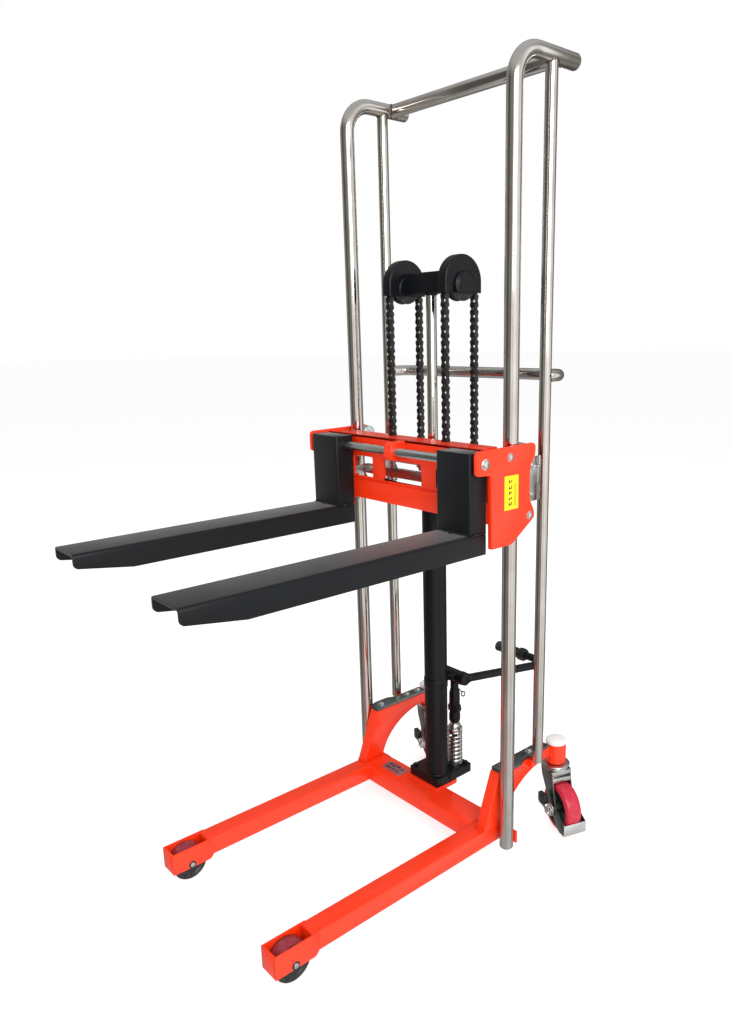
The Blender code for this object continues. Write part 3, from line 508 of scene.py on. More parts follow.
def tube(start, heading, radius, moves, sides=32, ends=1.2):
    """A round tube drawn by its moves: a number goes straight on, and (centre, axis, degrees)
    bends about a point."""
    bm = bmesh.new()
    heading = Vector(heading).normalized()
    bmesh.ops.create_circle(
        bm, cap_ends=True, segments=sides, radius=radius, matrix=aim(start, heading),
    )
    rim = bm.edges[:]
    for move in moves:
        if isinstance(move, tuple):
            centre, axis, degrees = move
            bent = bmesh.ops.spin(
                bm, geom=rim, cent=centre, axis=axis, angle=radians(degrees),
                steps=max(3, round(abs(degrees) / BEND_STEP)), use_merge=False, use_duplicate=False,
            )
            last = bent["geom_last"]
            heading.rotate(Quaternion(axis, radians(degrees)))
        else:
            last = bmesh.ops.extrude_edge_only(bm, edges=rim)["geom"]
            bmesh.ops.translate(bm, verts=new_verts(last), vec=heading * move)
        rim = joining(new_verts(last))
    bmesh.ops.edgeloop_fill(bm, edges=rim)
    clean(bm)
    return soften(bm, ends, 3, sharper=60) if ends else bm


def bead(matrix, radius, thick, pipe=0.0, sides=72):
    """A weld bead in a ring round +Z, rippled along its run. Where a pipe's radius is given, the
    ring sits on that pipe, which lies along Y with its axis at the origin."""
    bm = bmesh.new()
    bmesh.ops.create_circle(bm, segments=8, radius=thick, matrix=at(radius, 0, 0, 90, "X"))
    whirl(bm, sides)
    for v in bm.verts:
        t = atan2(v.co.y, v.co.x)
        middle = Vector((radius * cos(t), radius * sin(t), 0))
        v.co = middle + (v.co - middle) * (1 + 0.2 * sin(t * round(radius * 1.6)))
        if pipe:
            v.co.z -= sqrt(max(pipe ** 2 - middle.x ** 2, 1))
    bmesh.ops.transform(bm, matrix=matrix, verts=bm.verts)
    return bm


def seam(start, end, thick):
    """A straight weld bead with the ripples of its run."""
    start, end = Vector(start), Vector(end)
    reach = (end - start).length
    steps = max(6, round(reach / 1.4))
    bm = tube((0, 0, 0), Z, thick, [reach / steps] * steps, sides=8, ends=0)
    for v in bm.verts:
        swell = 1 + 0.22 * sin(v.co.z * 2.1) + 0.06 * sin(v.co.z * 0.53)
        v.co.x, v.co.y = v.co.x * swell, v.co.y * swell
    bmesh.ops.transform(bm, matrix=aim(start, end - start), verts=bm.verts)
    return bm


def bolt(centre, heading, across=None, head=5.0, washer=0.0):
    """A hexagon head, on a washer where one is given its radius."""
    across = across or size_mm("bolt")
    bm = bmesh.new()
    rise = 1.4 if washer else 0
    low = Matrix.Translation((0, 0, rise + head / 2))
    bmesh.ops.create_cone(
        bm, cap_ends=True, segments=6, radius1=across / sqrt(3), radius2=across / sqrt(3),
        depth=head, matrix=low,
    )
    soften(bm, 0.7, 2)
    crown = turned(
        [(0, 0), (across * 0.42, 0), (across * 0.36, 0.6), (0, 0.6)], (0, 0, rise + head), sides=24,
    )
    parts = [bm, crown]
    if washer:
        parts.append(collar(1, washer, 0, rise, edge=0.3))
    return moved(gather(*parts), aim(centre, heading))


def domed(centre, heading, radius, height, flange=0.0):
    """A domed head with a flange under it."""
    profile = [(0, 0), (radius, 0), (radius, height * 0.35), (radius * 0.86, height * 0.72)]
    profile += [(radius * 0.5, height * 0.95), (0, height)]
    parts = [turned(profile, sides=24)]
    if flange:
        parts.append(turned([(0, 0), (flange, 0), (flange, 1), (0, 1)], edge=0.3))
    return moved(gather(*parts), aim(centre, heading))


def moved(bm, matrix):
    """The same mesh under a matrix, turned right side out again if that mirrors it."""
    bmesh.ops.transform(bm, matrix=matrix, verts=bm.verts)
    if matrix.determinant() < 0:
        bmesh.ops.reverse_faces(bm, faces=bm.faces)
    return bm


def gather(*parts):
    """All the parts in one mesh."""
    whole = bmesh.new()
    for part in parts:
        mesh = bpy.data.meshes.new("part")
        part.to_mesh(mesh)
        part.free()
        whole.from_mesh(mesh)
        bpy.data.meshes.remove(mesh)
    return whole


def copies(part, matrices):
    """One part laid at each matrix."""
    mesh = bpy.data.meshes.new("part")
    part.to_mesh(mesh)
    part.free()
    whole = bmesh.new()
    for matrix in matrices:
        first = len(whole.verts)
        whole.from_mesh(mesh)
        whole.verts.ensure_lookup_table()
        bmesh.ops.transform(whole, matrix=matrix, verts=whole.verts[first:])
    bpy.data.meshes.remove(mesh)
    return whole


def handed(s, draw):
    """What draw() makes for the right side, or its mirror image for the left."""
    bm = draw()
    return bm if s > 0 else moved(bm, Matrix.Scale(-1, 4, X))


def settle(name, bm, finish, body, replaces=(), smooth=32):
    """Finishes a piece: metres, shading, material, the body it rides on and what it stands for.
    A body given as two names with two heights is not bent between them: the piece stays where it is
    in the row's frame."""
    bmesh.ops.transform(bm, matrix=TO_ROW, verts=bm.verts)
    mesh = bpy.data.meshes.new(name)
    bm.to_mesh(mesh)
    bm.free()
    mesh.shade_smooth()
    mesh.set_sharp_from_angle(angle=radians(smooth))
    mesh.materials.append(FINISHES[finish])
    piece = bpy.data.objects.new(name, mesh)
    bpy.context.scene.collection.objects.link(piece)
    if isinstance(body, str):
        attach(piece, body)
    else:
        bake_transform(piece)
    if replaces:
        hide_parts(*replaces)
    return piece


FINISHES = {}


# -------------------------------------------------------------------- pieces

class Piece:
    bl_options = {"REGISTER", "UNDO"}


class STACKER_OT_mast(Piece, bpy.types.Operator):
    """Chromed hoops, rear poles, crossbar and push handle, with their plugs and weld beads"""

    bl_idname = "stacker.mast"
    bl_label = "Mast"

    def execute(self, context):
        weld = size_mm("weld")
        level, top, foot = 1823, 1753, 37
        bar_y, elbow_x, elbow_y = 144, 244, 150
        for side, s in SIDES:
            x = MAST_X * s
            bend = ((x, 70, top), X, -90)
            hoop = tube((x, 0, foot), Z, HOOP_R, [top - foot, bend, 120], sides=40)
            settle(
                f"mast_hoop_tube_{side}", hoop, "chrome", "frame", [f"mast_hoop_{side}"],
            )
            pole = tube((x, POLE_Y, 224.5), Z, POLE_R, [1589], sides=36, ends=0.5)
            settle(
                f"rear_pole_tube_{side}", pole, "chrome", "frame", [f"rear_pole_{side}"],
            )
            plug = [(0, 0), (15.4, 0), (15.4, 1.2), (12, 2.4), (0, 3)]
            plugs = gather(
                turned(plug, (x, 190, level), Y), turned(plug, (x, 0, foot), (0, 0, -1)),
            )
            settle(f"tube_plugs_{side}", plugs, "nylon", "frame")
            on_bar = at(x, bar_y, level, -90 * s, "Y") @ Matrix.Rotation(pi, 4, "Y")
            beads = gather(
                bead(at(x, POLE_Y, level), 14, weld * 0.8, pipe=HOOP_R),
                bead(on_bar, 16.6, weld * 0.8, pipe=HOOP_R),
                bead(at(x, POLE_Y, HANDLE_Z, 90, "X"), 14, weld * 0.7, pipe=POLE_R),
            )
            settle(f"mast_welds_{side}", beads, "tint_weld", "frame")
        bar = rod(16, (-256, bar_y, level), (256, bar_y, level), sides=40)
        settle("top_crossbar_tube", bar, "chrome", "frame", ["top_crossbar"])
        left, right = [((x, elbow_y, HANDLE_Z), Z, -90) for x in (-elbow_x, elbow_x)]
        moves = [28.0, left, 2.0 * elbow_x, right, 28.0]
        handle = tube((-MAST_X, 122, HANDLE_Z), Y, POLE_R, moves, sides=36)
        settle("push_handle_tube", handle, "chrome", "frame", ["push_handle"])
        return {"FINISHED"}


class STACKER_OT_brace(Piece, bpy.types.Operator):
    """Zinc-plated brace between the rear poles, with its cylinder saddle and rear chain arms"""

    bl_idname = "stacker.brace"
    bl_label = "Mast brace"

    def execute(self, context):
        low, high = span("mast_brace")
        plate = slab(
            [(-MAST_X, low.z, 4), (MAST_X, low.z, 4), (MAST_X, high.z, 4), (-MAST_X, high.z, 4)],
            92.2, 100.2, "Y",
        )
        bite = [
            (30.4 * sin(radians(a)), CYLINDER_Y + 30.4 * cos(radians(a))) for a in range(-60, 61, 8)
        ]
        saddle = slab([(36, 36), (36, 93), (-36, 93), (-36, 36), *bite], low.z + 2, high.z - 3, "Z")
        parts = [plate, saddle]
        for s in (-1, 1):
            x = s * PULLEY_X
            parts += [
                box((x - 11, 60, low.z + 2), (x + 11, 93, 959.5), 1.5),
                slab(
                    [(58, 897, 6), (100, 897), (100, 1000), (58, 1000, 6)],
                    *sorted((s * 262, s * 266)), edge=0.8,
                ),
                *[bolt((s * 266, 76, z), (s, 0, 0), head=4, washer=10) for z in (982, 915)],
                bolt((s * 240, 92.2, 958), (0, -1, 0), washer=11),
                bolt((s * 20, 100.2, 958), Y, washer=11),
                rod(4, (x, 68.5, 950), (x, 68.5, 966)),
                box((x - 8.5, 63.5, 957), (x - 6, 73.5, 973), 0.6),
                box((x + 6, 63.5, 957), (x + 8.5, 73.5, 973), 0.6),
                bolt((x, 68.5, low.z + 2), (0, 0, -1), across=14, head=7, washer=10),
            ]
        settle("mast_brace_plate", gather(*parts), "zinc", "frame", ["mast_brace"])
        return {"FINISHED"}


class STACKER_OT_legs(Piece, bpy.types.Operator):
    """Straddle legs of rectangular tube with their roller boxes, and the mast clips"""

    bl_idname = "stacker.legs"
    bl_label = "Straddle legs"

    def execute(self, context):
        edge = size_mm("tube_edge")
        weld = size_mm("weld")
        cheek = [(-652, 34, 2), (-556, 34, 3), (-547, 42, 3), (-547, 87, 1), (-652, 87, 2)]

        def draw():
            return gather(
                box((197, -559, 42), (246.5, 24, 87), edge, 4),
                slab(cheek, 243.2, 247.4, edge=1), slab(cheek, 196.1, 200.3, edge=1),
                box((197, -652, 34.2), (246.6, -647, 87), 1.2),
                box((244.5, 17.3, 43), (288, 23, 75), 1.4),
            )

        def draw_welds():
            return gather(
                seam((246.8, -546.4, 46), (246.8, -546.4, 84), weld * 0.5),
                seam((247.2, 22, 44), (262, 22.5, 44), weld * 0.8),
            )

        for side, s in SIDES:
            settle(
                f"straddle_leg_{side}", handed(s, draw), "red", "frame",
                [f"support_leg_{side}"],
            )
            settle(f"leg_welds_{side}", handed(s, draw_welds), "red_weld", "frame")
        return {"FINISHED"}


class STACKER_OT_load_rollers(Piece, bpy.types.Operator):
    """Load rollers at the leg tips, each a urethane tread on a nylon core, and their axles"""

    bl_idname = "stacker.load_rollers"
    bl_label = "Load rollers"

    def execute(self, context):
        for side, s in SIDES:
            hub = (s * 221.75, -604, 42)
            tread = mirrored([(34, -15), (41.4, -15), (42, -14)])
            core = mirrored([
                (7, -15), (13, -15), (13, -18), (16, -18), (17.5, -15), (30, -15), (33, -17.6),
                (38, -18.4), (40.6, -17.4), (41.2, -15),
            ])
            body = f"load_roller_{side}"
            settle(
                f"roller_tread_{side}", turned(tread, hub, X, sides=64), "roller", body,
                [body],
            )
            settle(
                f"roller_core_{side}", turned(core, hub, X, sides=48), "nylon", body,
            )
            heads = [rod(6, (hub[0] - 24.5, *hub[1:]), (hub[0] + 24.5, *hub[1:]))]
            for way in (-1, 1):
                face = (hub[0] + way * 25.7, *hub[1:])
                heads.append(domed(face, (way, 0, 0), 6.6, 3.8))
            settle(
                f"roller_axle_pin_{side}", gather(*heads), "zinc", "frame",
                [f"roller_axle_{side}"],
            )
            # Painted shade: a thin black nylon disc round each axle head stands for the dark,
            # shaded recess round the head and is no real part.
            shade_rings = [
                turned(drum(9.4, 0, 0.7), (hub[0] + way * 25.5, *hub[1:]), (way, 0, 0))
                for way in (-1, 1)
            ]
            settle(f"roller_axle_seat_{side}", gather(*shade_rings), "nylon", "frame")
        return {"FINISHED"}


class STACKER_OT_crossbeam(Piece, bpy.types.Operator):
    """Crossbeam with the pump's base plate and the weld seams to the legs"""

    bl_idname = "stacker.crossbeam"
    bl_label = "Crossbeam"

    def execute(self, context):
        edge = size_mm("tube_edge")
        weld = size_mm("weld")
        parts = [
            box((-200, -59, 42), (200, 22, 86.9), edge, 4),
            slab([(-78, -18, 3), (36, -18, 3), (36, 64, 5), (-78, 64, 5)], 84, 95, "Z", edge=1.2),
        ]
        settle("crossbeam_tube", gather(*parts), "red", "frame", ["crossbeam"])
        seams = [
            seam((-78, -18.5, 88), (36, -18.5, 88), weld),
            seam((-78.5, -18, 88), (-78.5, 20, 88), weld),
            seam((36.5, -18, 88), (36.5, 20, 88), weld),
        ]
        for s in (-1, 1):
            seams += [
                seam((s * 197, -56, 86.4), (s * 197, 20, 86.4), weld * 0.6),
                seam((s * 197, -59.2, 46), (s * 197, -59.2, 83), weld * 0.6),
                seam((s * 197, 22.2, 46), (s * 197, 22.2, 83), weld * 0.6),
            ]
        settle("crossbeam_welds", gather(*seams), "red_weld", "frame")
        return {"FINISHED"}


class STACKER_OT_brackets(Piece, bpy.types.Operator):
    """Arched rear brackets with the caster sockets and their white caps"""

    bl_idname = "stacker.brackets"
    bl_label = "Rear brackets"

    def execute(self, context):
        weld = size_mm("weld")
        first = asin((87.3 - 60) / 140)
        angles = [first + (pi / 2 - first) * i / 20 for i in range(21)]
        arch = [(188 - 178 * cos(t), 60 + 140 * sin(t)) for t in angles]
        outline = [(-56, 86.5, 4), *arch, (201, 200), (201, 218), (189, 227), (-3, 227, 6)]
        centre = (SOCKET_X, SOCKET_Y, 0)

        def draw():
            return gather(
                slab(outline, 219, 250, edge=2.6, steps=3),
                collar(12.5, 26, 176, 229, centre, edge=0.8, sides=48),
                box((249, 103, 206), (264, 125, 224), 2),
            )

        def draw_welds():
            return gather(
                seam((250.4, 195.4, 180), (250.4, 195.4, 222), weld * 1.5),
                seam((221, -56.5, 88), (248, -56.5, 88), weld),
                seam((247.4, -54, 88), (247.4, 8, 88), weld * 0.6),
                bead(at(SOCKET_X, SOCKET_Y, 177), 26.2, weld * 0.5),
            )

        for side, s in SIDES:
            settle(
                f"rear_bracket_box_{side}", handed(s, draw), "red", "frame",
                [f"rear_bracket_{side}"],
            )
            settle(f"bracket_welds_{side}", handed(s, draw_welds), "red_weld", "frame")
            dome = [
                (0, 229.2), (27.6, 229.2), (28.2, 232.5), (27.6, 235.5), (25, 238), (19, 240),
                (10, 241.2), (0, 241.6),
            ]
            cap = turned(dome, (s * SOCKET_X, SOCKET_Y, 0), sides=48)
            settle(
                f"socket_cap_dome_{side}", cap, "cap", "frame",
                [f"socket_cap_{side}"],
            )
        return {"FINISHED"}


class STACKER_OT_foot_plates(Piece, bpy.types.Operator):
    """Zinc plates under the rear poles, each with three bolts"""

    bl_idname = "stacker.foot_plates"
    bl_label = "Foot plates"

    def execute(self, context):
        outline = [
            (220, -2, 5), (251, -2, 4), (262, 20, 6), (262, 66, 6), (252, 86, 6), (252, 186, 6),
            (220, 186, 6),
        ]

        def draw():
            return slab(outline, 227.2, 235, "Z", edge=1)

        def draw_bolts():
            return gather(*[bolt((236, y, 235), Z, washer=10) for y in (24, 122, 164)])

        for side, s in SIDES:
            settle(f"foot_plate_bolts_{side}", handed(s, draw_bolts), "spring", "frame")
            settle(
                f"foot_plate_bolted_{side}", handed(s, draw), "plate", "frame",
                [f"foot_plate_{side}"],
            )
        return {"FINISHED"}


class STACKER_OT_casters(Piece, bpy.types.Operator):
    """Swivel casters: fork with its ball race, wheel, toe guard and brake"""

    bl_idname = "stacker.casters"
    bl_label = "Casters"

    def execute(self, context):
        cheek = [
            (-26, 161, 3), (-22, 136, 8), (26, 56, 8), (38, 47, 6), (50, 56, 8), (51, 68, 6),
            (32, 136, 8), (29, 161, 3),
        ]
        arm = [
            (28, 50, 6), (44, 45, 8), (72, 15, 8), (99, 15), (99, 45), (62, 64, 8), (46, 77, 9),
            (28, 76, 9),
        ]
        hub = (CASTER_TRAIL, 0, 62.5)
        for side, s in SIDES:
            place = at(s * SOCKET_X, SOCKET_Y, 0, CASTER_TURN)
            race = [
                (0, 157), (31, 157), (33.2, 158.4), (33.6, 161), (32.6, 163.4), (30.4, 164.6),
                (30.4, 166),
                (35, 166.6), (37, 168.8), (36, 171), (32, 172.4), (12, 174.5), (12, 215), (0, 215),
            ]
            sheets = [
                slab(cheek, -29, -25.4, "Y", edge=1), slab(cheek, 25.4, 29, "Y", edge=1),
                box((-25, -29, 154.5), (29, 29, 160), 1.5),
                slab(arm, -33, -30.6, "Y", edge=0.8), slab(arm, 30.6, 33, "Y", edge=0.8),
            ]
            sheets = moved(gather(*sheets), place)
            settle(f"caster_cheeks_{side}", sheets, "plate", f"caster_{side}")
            parts = [
                turned(race, sides=56),
                slab([(25, -27), (30, -27), (30, 27), (25, 27)], 146, 157, "Z", edge=1.6, steps=3),
                slab([(27, -28), (34, -28), (34, 28), (27, 28)], 128, 141, "Z", edge=2.4, steps=3),
                box((22, -20, 138), (26, 20, 150), 1),
                rod(5, (hub[0], -40, hub[2]), (hub[0], 38, hub[2])),
                bolt((hub[0], 33.2, hub[2]), Y, across=16, head=6, washer=10),
                collar(5, 12, 23, 25.4, hub, Y), collar(5, 12, -25.4, -23, hub, Y),
            ]
            fork = moved(gather(*parts), place)
            settle(
                f"caster_yoke_{side}", fork, "zinc", f"caster_{side}",
                [f"caster_fork_{side}"],
            )
            guard = moved(box((98.2, -33, 15), (101, 33, 45), 1.1, 3), place)
            settle(
                f"toe_guard_sheet_{side}", guard, "spring", f"caster_{side}",
                [f"toe_guard_{side}"],
            )

            tread = mirrored([
                (50, -21.6), (55.5, -21.6), (58.6, -20.4), (61, -17.2), (62.2, -12), (62.5, -6),
            ])
            core = mirrored([
                (6, -22), (14, -22), (16, -20), (16, -13), (42, -13), (46, -20), (51, -21.2),
            ])
            body = f"caster_wheel_{side}"
            wheel = moved(turned(tread, hub, Y, sides=80), place)
            settle(f"caster_tread_{side}", wheel, "tread", body, [body])
            ribs = [moved(turned(core, hub, Y, sides=64), place)]
            for i in range(6):
                rib = box((14, -17, -2), (44, 17, 2), 0.8)
                ribs.append(moved(rib, place @ at(*hub, 60 * i, "Y")))
            settle(f"caster_core_{side}", gather(*ribs), "nylon", body)

            teeth = [bolt((hub[0], -37.2, hub[2]), (0, -1, 0), across=31, head=7, washer=18.5)]
            for i in range(6):
                tooth = box((5.5, -48.6, -2.6), (13, -44.4, 2.6), 0.5)
                teeth.append(moved(tooth, at(*hub, 60 * i, "Y")))
            teeth += [
                collar(5.2, 14, -37.4, -34.2, hub, Y),
                slab(
                    [(0, 62, 3), (12, 54), (44, 54, 4), (44, 74, 4), (33, 80, 3), (0, 80, 3)],
                    -36.6, -34.4, "Y",
                ),
                rod(1.5, (hub[0] + 6, -46, hub[2] + 1), (hub[0] - 36, -50, hub[2] + 5), 0.3, 10),
                rod(1.5, (hub[0] + 6, -46, hub[2] - 2), (hub[0] - 28, -44.4, hub[2] - 3), 0.3, 10),
            ]
            brake = moved(gather(*teeth), place)
            settle(
                f"brake_nut_{side}", brake, "spring", f"caster_brake_{side}",
                [f"brake_lever_{side}"],
            )
            pedal = moved(box((-4, -50, 68), (26, -36.5, 94), 2.4, 3), place)
            settle(f"brake_pedal_{side}", pedal, "nylon", f"caster_brake_{side}")
        return {"FINISHED"}


class STACKER_OT_lift(Piece, bpy.types.Operator):
    """Lift cylinder with its gland and foot weld, and the piston rod"""

    bl_idname = "stacker.lift"
    bl_label = "Lift cylinder"

    def execute(self, context):
        centre = (0, CYLINDER_Y, 0)
        shell = [
            (0, 120.3), (30, 120.3), (30, 955), (31.6, 957), (31.6, 974), (29, 980), (21, 980),
            (20, 977.5),
            (12.8, 977.5), (12.8, 940), (0, 940),
        ]
        parts = [
            turned(shell, centre, sides=64), collar(29, 33, 120, 124, centre, edge=1.4, sides=48),
            bolt((0, CYLINDER_Y - 30, 150), (0, -1, 0), across=9, head=2),
        ]
        settle(
            "lift_cylinder_tube", gather(*parts), "black", "frame",
            ["lift_cylinder"],
        )
        foot = bead(at(0, CYLINDER_Y, 125), 31, 1.7)
        settle("cylinder_foot_weld", foot, "black_weld", "frame")
        bar = rod(12.5, (0, CYLINDER_Y, 582), (0, CYLINDER_Y, 1366), 0.8, 48)
        settle("piston_rod_bar", bar, "chrome", "crosshead", ["piston_rod"])
        return {"FINISHED"}


class STACKER_OT_crosshead(Piece, bpy.types.Operator):
    """Crosshead beam with a hood over each chain pulley, and the pulleys"""

    bl_idname = "stacker.crosshead"
    bl_label = "Crosshead"

    def execute(self, context):
        low = 1362.5
        angles = [pi * i / 28 for i in range(29)]

        def arched(radius, centre_z):
            """An outline that is round above a height and straight down from there to low."""
            y = CYLINDER_Y
            crown = [(y + radius * cos(t), centre_z + radius * sin(t)) for t in angles]
            return [(y + radius, low), *crown, (y - radius, low)]

        dome, boss = arched(58, PULLEY_Z), arched(32, 1377)

        def shield(near, far, edge):
            bm = slab(boss, near, far, edge=0)
            return soften(
                bm, edge, 1, sharper=60, keep=lambda e: min(v.co.z for v in e.verts) < low + 1,
            )

        parts = [
            box((-83, 5, 1364), (83, 38, 1413), 3, 3),
            turned(
                [(0, 0), (16, 0), (15, 2.5), (0, 2.5)], (0, CYLINDER_Y, 1364), (0, 0, -1), sides=48,
            ),
        ]
        for side, s in SIDES:
            hood = slab(dome, s * PULLEY_X - 14, s * PULLEY_X + 14, edge=0)
            soften(hood, 4.5, 5, sharper=60, keep=lambda e: max(v.co.z for v in e.verts) < low + 1)
            bottom = [f for f in hood.faces if f.normal.z < -0.99]
            bmesh.ops.delete(hood, geom=bottom, context="FACES")
            bmesh.ops.solidify(hood, geom=hood.faces[:], thickness=2.4)
            bmesh.ops.recalc_face_normals(hood, faces=hood.faces)
            parts.append(hood)
            for inner, outer, edge in ((107, 120, 7), (74, 83, 3)):
                parts.append(shield(*sorted((s * inner, s * outer)), edge))
        settle(
            "crosshead_hoods", gather(*parts), "black", "crosshead", ["crosshead"],
        )
        for side, s in SIDES:
            hub = (s * PULLEY_X, CYLINDER_Y, PULLEY_Z)
            wheel = mirrored([
                (7.2, -10.4), (43, -10.4), (43.4, -9.6), (42.6, -8.9), (39, -8.6), (37.4, -5),
            ])
            pulley = turned(wheel, hub, X, sides=64)
            settle(
                f"chain_pulley_wheel_{side}", pulley, "nylon", f"pulley_{side}",
                [f"chain_pulley_{side}"],
            )
        return {"FINISHED"}


def chain_link(pitch, outer):
    """One link along Z: two plates with the pin and bush at its lower end."""
    thick = 1.5
    plate = bmesh.new()
    facing = at(0, 0, 0, 90, "Y") @ at(0, 0, 0, 11.25)
    bmesh.ops.create_circle(plate, cap_ends=True, segments=16, radius=7.2, matrix=facing)
    for way in (1, -1):
        half = [v for v in plate.verts if v.co.z * way > 0]
        bmesh.ops.translate(plate, verts=half, vec=(0, 0, way * pitch / 2))
    whole = plate.verts[:] + plate.edges[:] + plate.faces[:]
    waist = bmesh.ops.bisect_plane(plate, geom=whole, dist=1e-4, plane_co=(0, 0, 0), plane_no=Z)
    for v in new_verts(waist["geom_cut"]):
        v.co.y *= 0.62
    grown = bmesh.ops.extrude_face_region(plate, geom=plate.faces[:])
    bmesh.ops.translate(plate, verts=new_verts(grown["geom"]), vec=(thick, 0, 0))
    clean(plate)
    inner = 6.3 if outer else 4.4
    spots = [at(inner, 0, 0), at(-inner - thick, 0, 0)]
    bush = turned(drum(4.6, -4.4, 4.4), (0, 0, -pitch / 2), X, sides=10)
    parts = [copies(plate, spots), bush]
    if outer:
        for end in (-pitch / 2, pitch / 2):
            parts.append(turned(drum(2.4, -8.5, 8.5), (0, 0, end), X, sides=8))
    return gather(*parts)


class STACKER_OT_chains(Piece, bpy.types.Operator):
    """Lift chains: a run in front of each pulley, a run behind it and the wrap over it"""

    bl_idname = "stacker.chains"
    bl_label = "Lift chains"

    def execute(self, context):
        pitch = size_mm("chain_pitch")

        def run(x, y, count):
            links = []
            for outer in (False, True):
                spots = [
                    at(
                        x, y, PULLEY_Z - pitch * (i + 0.5),
                    ) for i in range(count) if (i % 2 == 0) == outer
                ]
                links.append(copies(chain_link(pitch, outer), spots))
            return gather(*links)

        turns = 8                             # links over each pulley
        half = pi / turns / 2
        low, high = 930, 1417                 # ends of a run, passed with its body, which settle() does not bend
        for side, s in SIDES:
            x = s * PULLEY_X
            y = CYLINDER_Y - CHAIN_R
            body = ("crosshead", "carriage", row_point(x, y, high), row_point(x, y, 955))
            settle(
                f"chain_front_{side}", run(x, y, 24), "chain", body,
                [f"front_chain_{side}"],
            )
            y = CYLINDER_Y + CHAIN_R
            body = ("frame", "crosshead", row_point(x, y, low), row_point(x, y, high))
            settle(
                f"chain_rear_{side}", run(x, y, 25), "chain", body,
                [f"rear_chain_{side}"],
            )
            links = []
            for outer in (False, True):
                spots = [
                    at(x, CYLINDER_Y, PULLEY_Z) @ Matrix.Rotation(pi * (i + 0.5) / turns, 4, "X")
                    @ at(0, CHAIN_R * cos(half), 0) for i in range(turns) if (i % 2 == 0) == outer
                ]
                links.append(copies(chain_link(2 * CHAIN_R * sin(half), outer), spots))
            wrap = gather(*links)
            settle(
                f"chain_over_{side}", wrap, "chain", "crosshead",
                [f"chain_wrap_{side}"],
            )
        return {"FINISHED"}


class STACKER_OT_carriage(Piece, bpy.types.Operator):
    """Carriage: side plates with front flanges, pressed front plate, shaft lug and bolts"""

    bl_idname = "stacker.carriage"
    bl_label = "Carriage"

    def execute(self, context):
        weld = size_mm("weld")
        outline = [
            (-136.5, 1035, 11), (-135.5, 984, 7), (-91, 981, 6), (-88, 819, 3), (-23, 819, 8),
            (54, 871, 8), (50, 888, 8), (35, 914, 8), (35, 984, 10), (53, 1012, 8), (53, 1038, 10),
        ]

        def draw_side():
            return gather(
                slab(outline, 291, 299, edge=1.2, steps=3),
                slab([(-91, 981), (-83, 981), (-80, 819.5), (-88.2, 819.5)], 287.5, 297, edge=1),
            )

        def draw_bolts():
            return gather(
                domed((299, -31, 1014), X, 8, 5, flange=9.5),
                domed((299, 35, 877), X, 8, 5, flange=9.5),
                rod(5, (262, -34.5, 1012), (292, -34.5, 1012)),
                rod(5, (262, 34.5, 1020), (292, 34.5, 1020)),
                rod(5, (262, 34.5, 877), (292, 34.5, 877)),
            )

        for side, s in SIDES:
            settle(
                f"carriage_side_plate_{side}", handed(s, draw_side), "red", "carriage",
                [f"carriage_side_{side}"],
            )
            settle(f"carriage_bolts_{side}", handed(s, draw_bolts), "spring", "carriage")

        reach = 290.7
        windows = [[(-67, 928, 3), (70, 928, 3), (66, 979, 3), (-67, 979, 3)]]
        windows += [
            [(s * a, 928, 3), (s * b, 928, 3), (s * b, 979, 3), (s * a, 979, 3)]
            for s, a, b in ((-1, 186, 111), (1, 122, 186))
        ]
        corners = [(-reach, 873), (reach, 873), (reach, 1031), (-reach, 1031)]
        top = [
            (-reach, -81), (reach, -81), (reach, -72), (250, -72, 4), (250, -17, 4), (108, -17),
            (108, -37, 3),
            (82, -37, 3), (82, -17), (-82, -17), (-82, -37, 3), (-108, -37, 3), (-108, -17),
            (-250, -17, 4),
            (-250, -72, 4), (-reach, -72),
        ]
        lug = [
            (-78, 986), (-118, 986, 5), (-126, 993, 5), (-126, 1018, 6), (-119, 1028, 5),
            (-78, 1030.6),
        ]
        parts = [
            slab(corners, -81, -75, "Y", windows, edge=1),
            box((-reach, -87.5, 873), (reach, -80, 921), 1.6, 3),
            slab(top, 1025, 1031, "Z", edge=1), slab(lug, -13, 13, edge=2, steps=3),
        ]
        settle(
            "carriage_front_plate", gather(*parts), "red", "carriage",
            ["carriage_front"],
        )
        seams = [seam((s * 13.4, -82, 992), (s * 13.4, -82, 1028), weld * 0.7) for s in (-1, 1)]
        seams += [seam((s * 290, -74, 880), (s * 290, -74, 1020), weld * 0.8) for s in (-1, 1)]
        seams += [seam((s * 281, -87.6, 921.5), (s * 60, -87.6, 921.5), 0.8) for s in (-1, 1)]
        settle("carriage_welds", gather(*seams), "red_weld", "carriage")
        return {"FINISHED"}


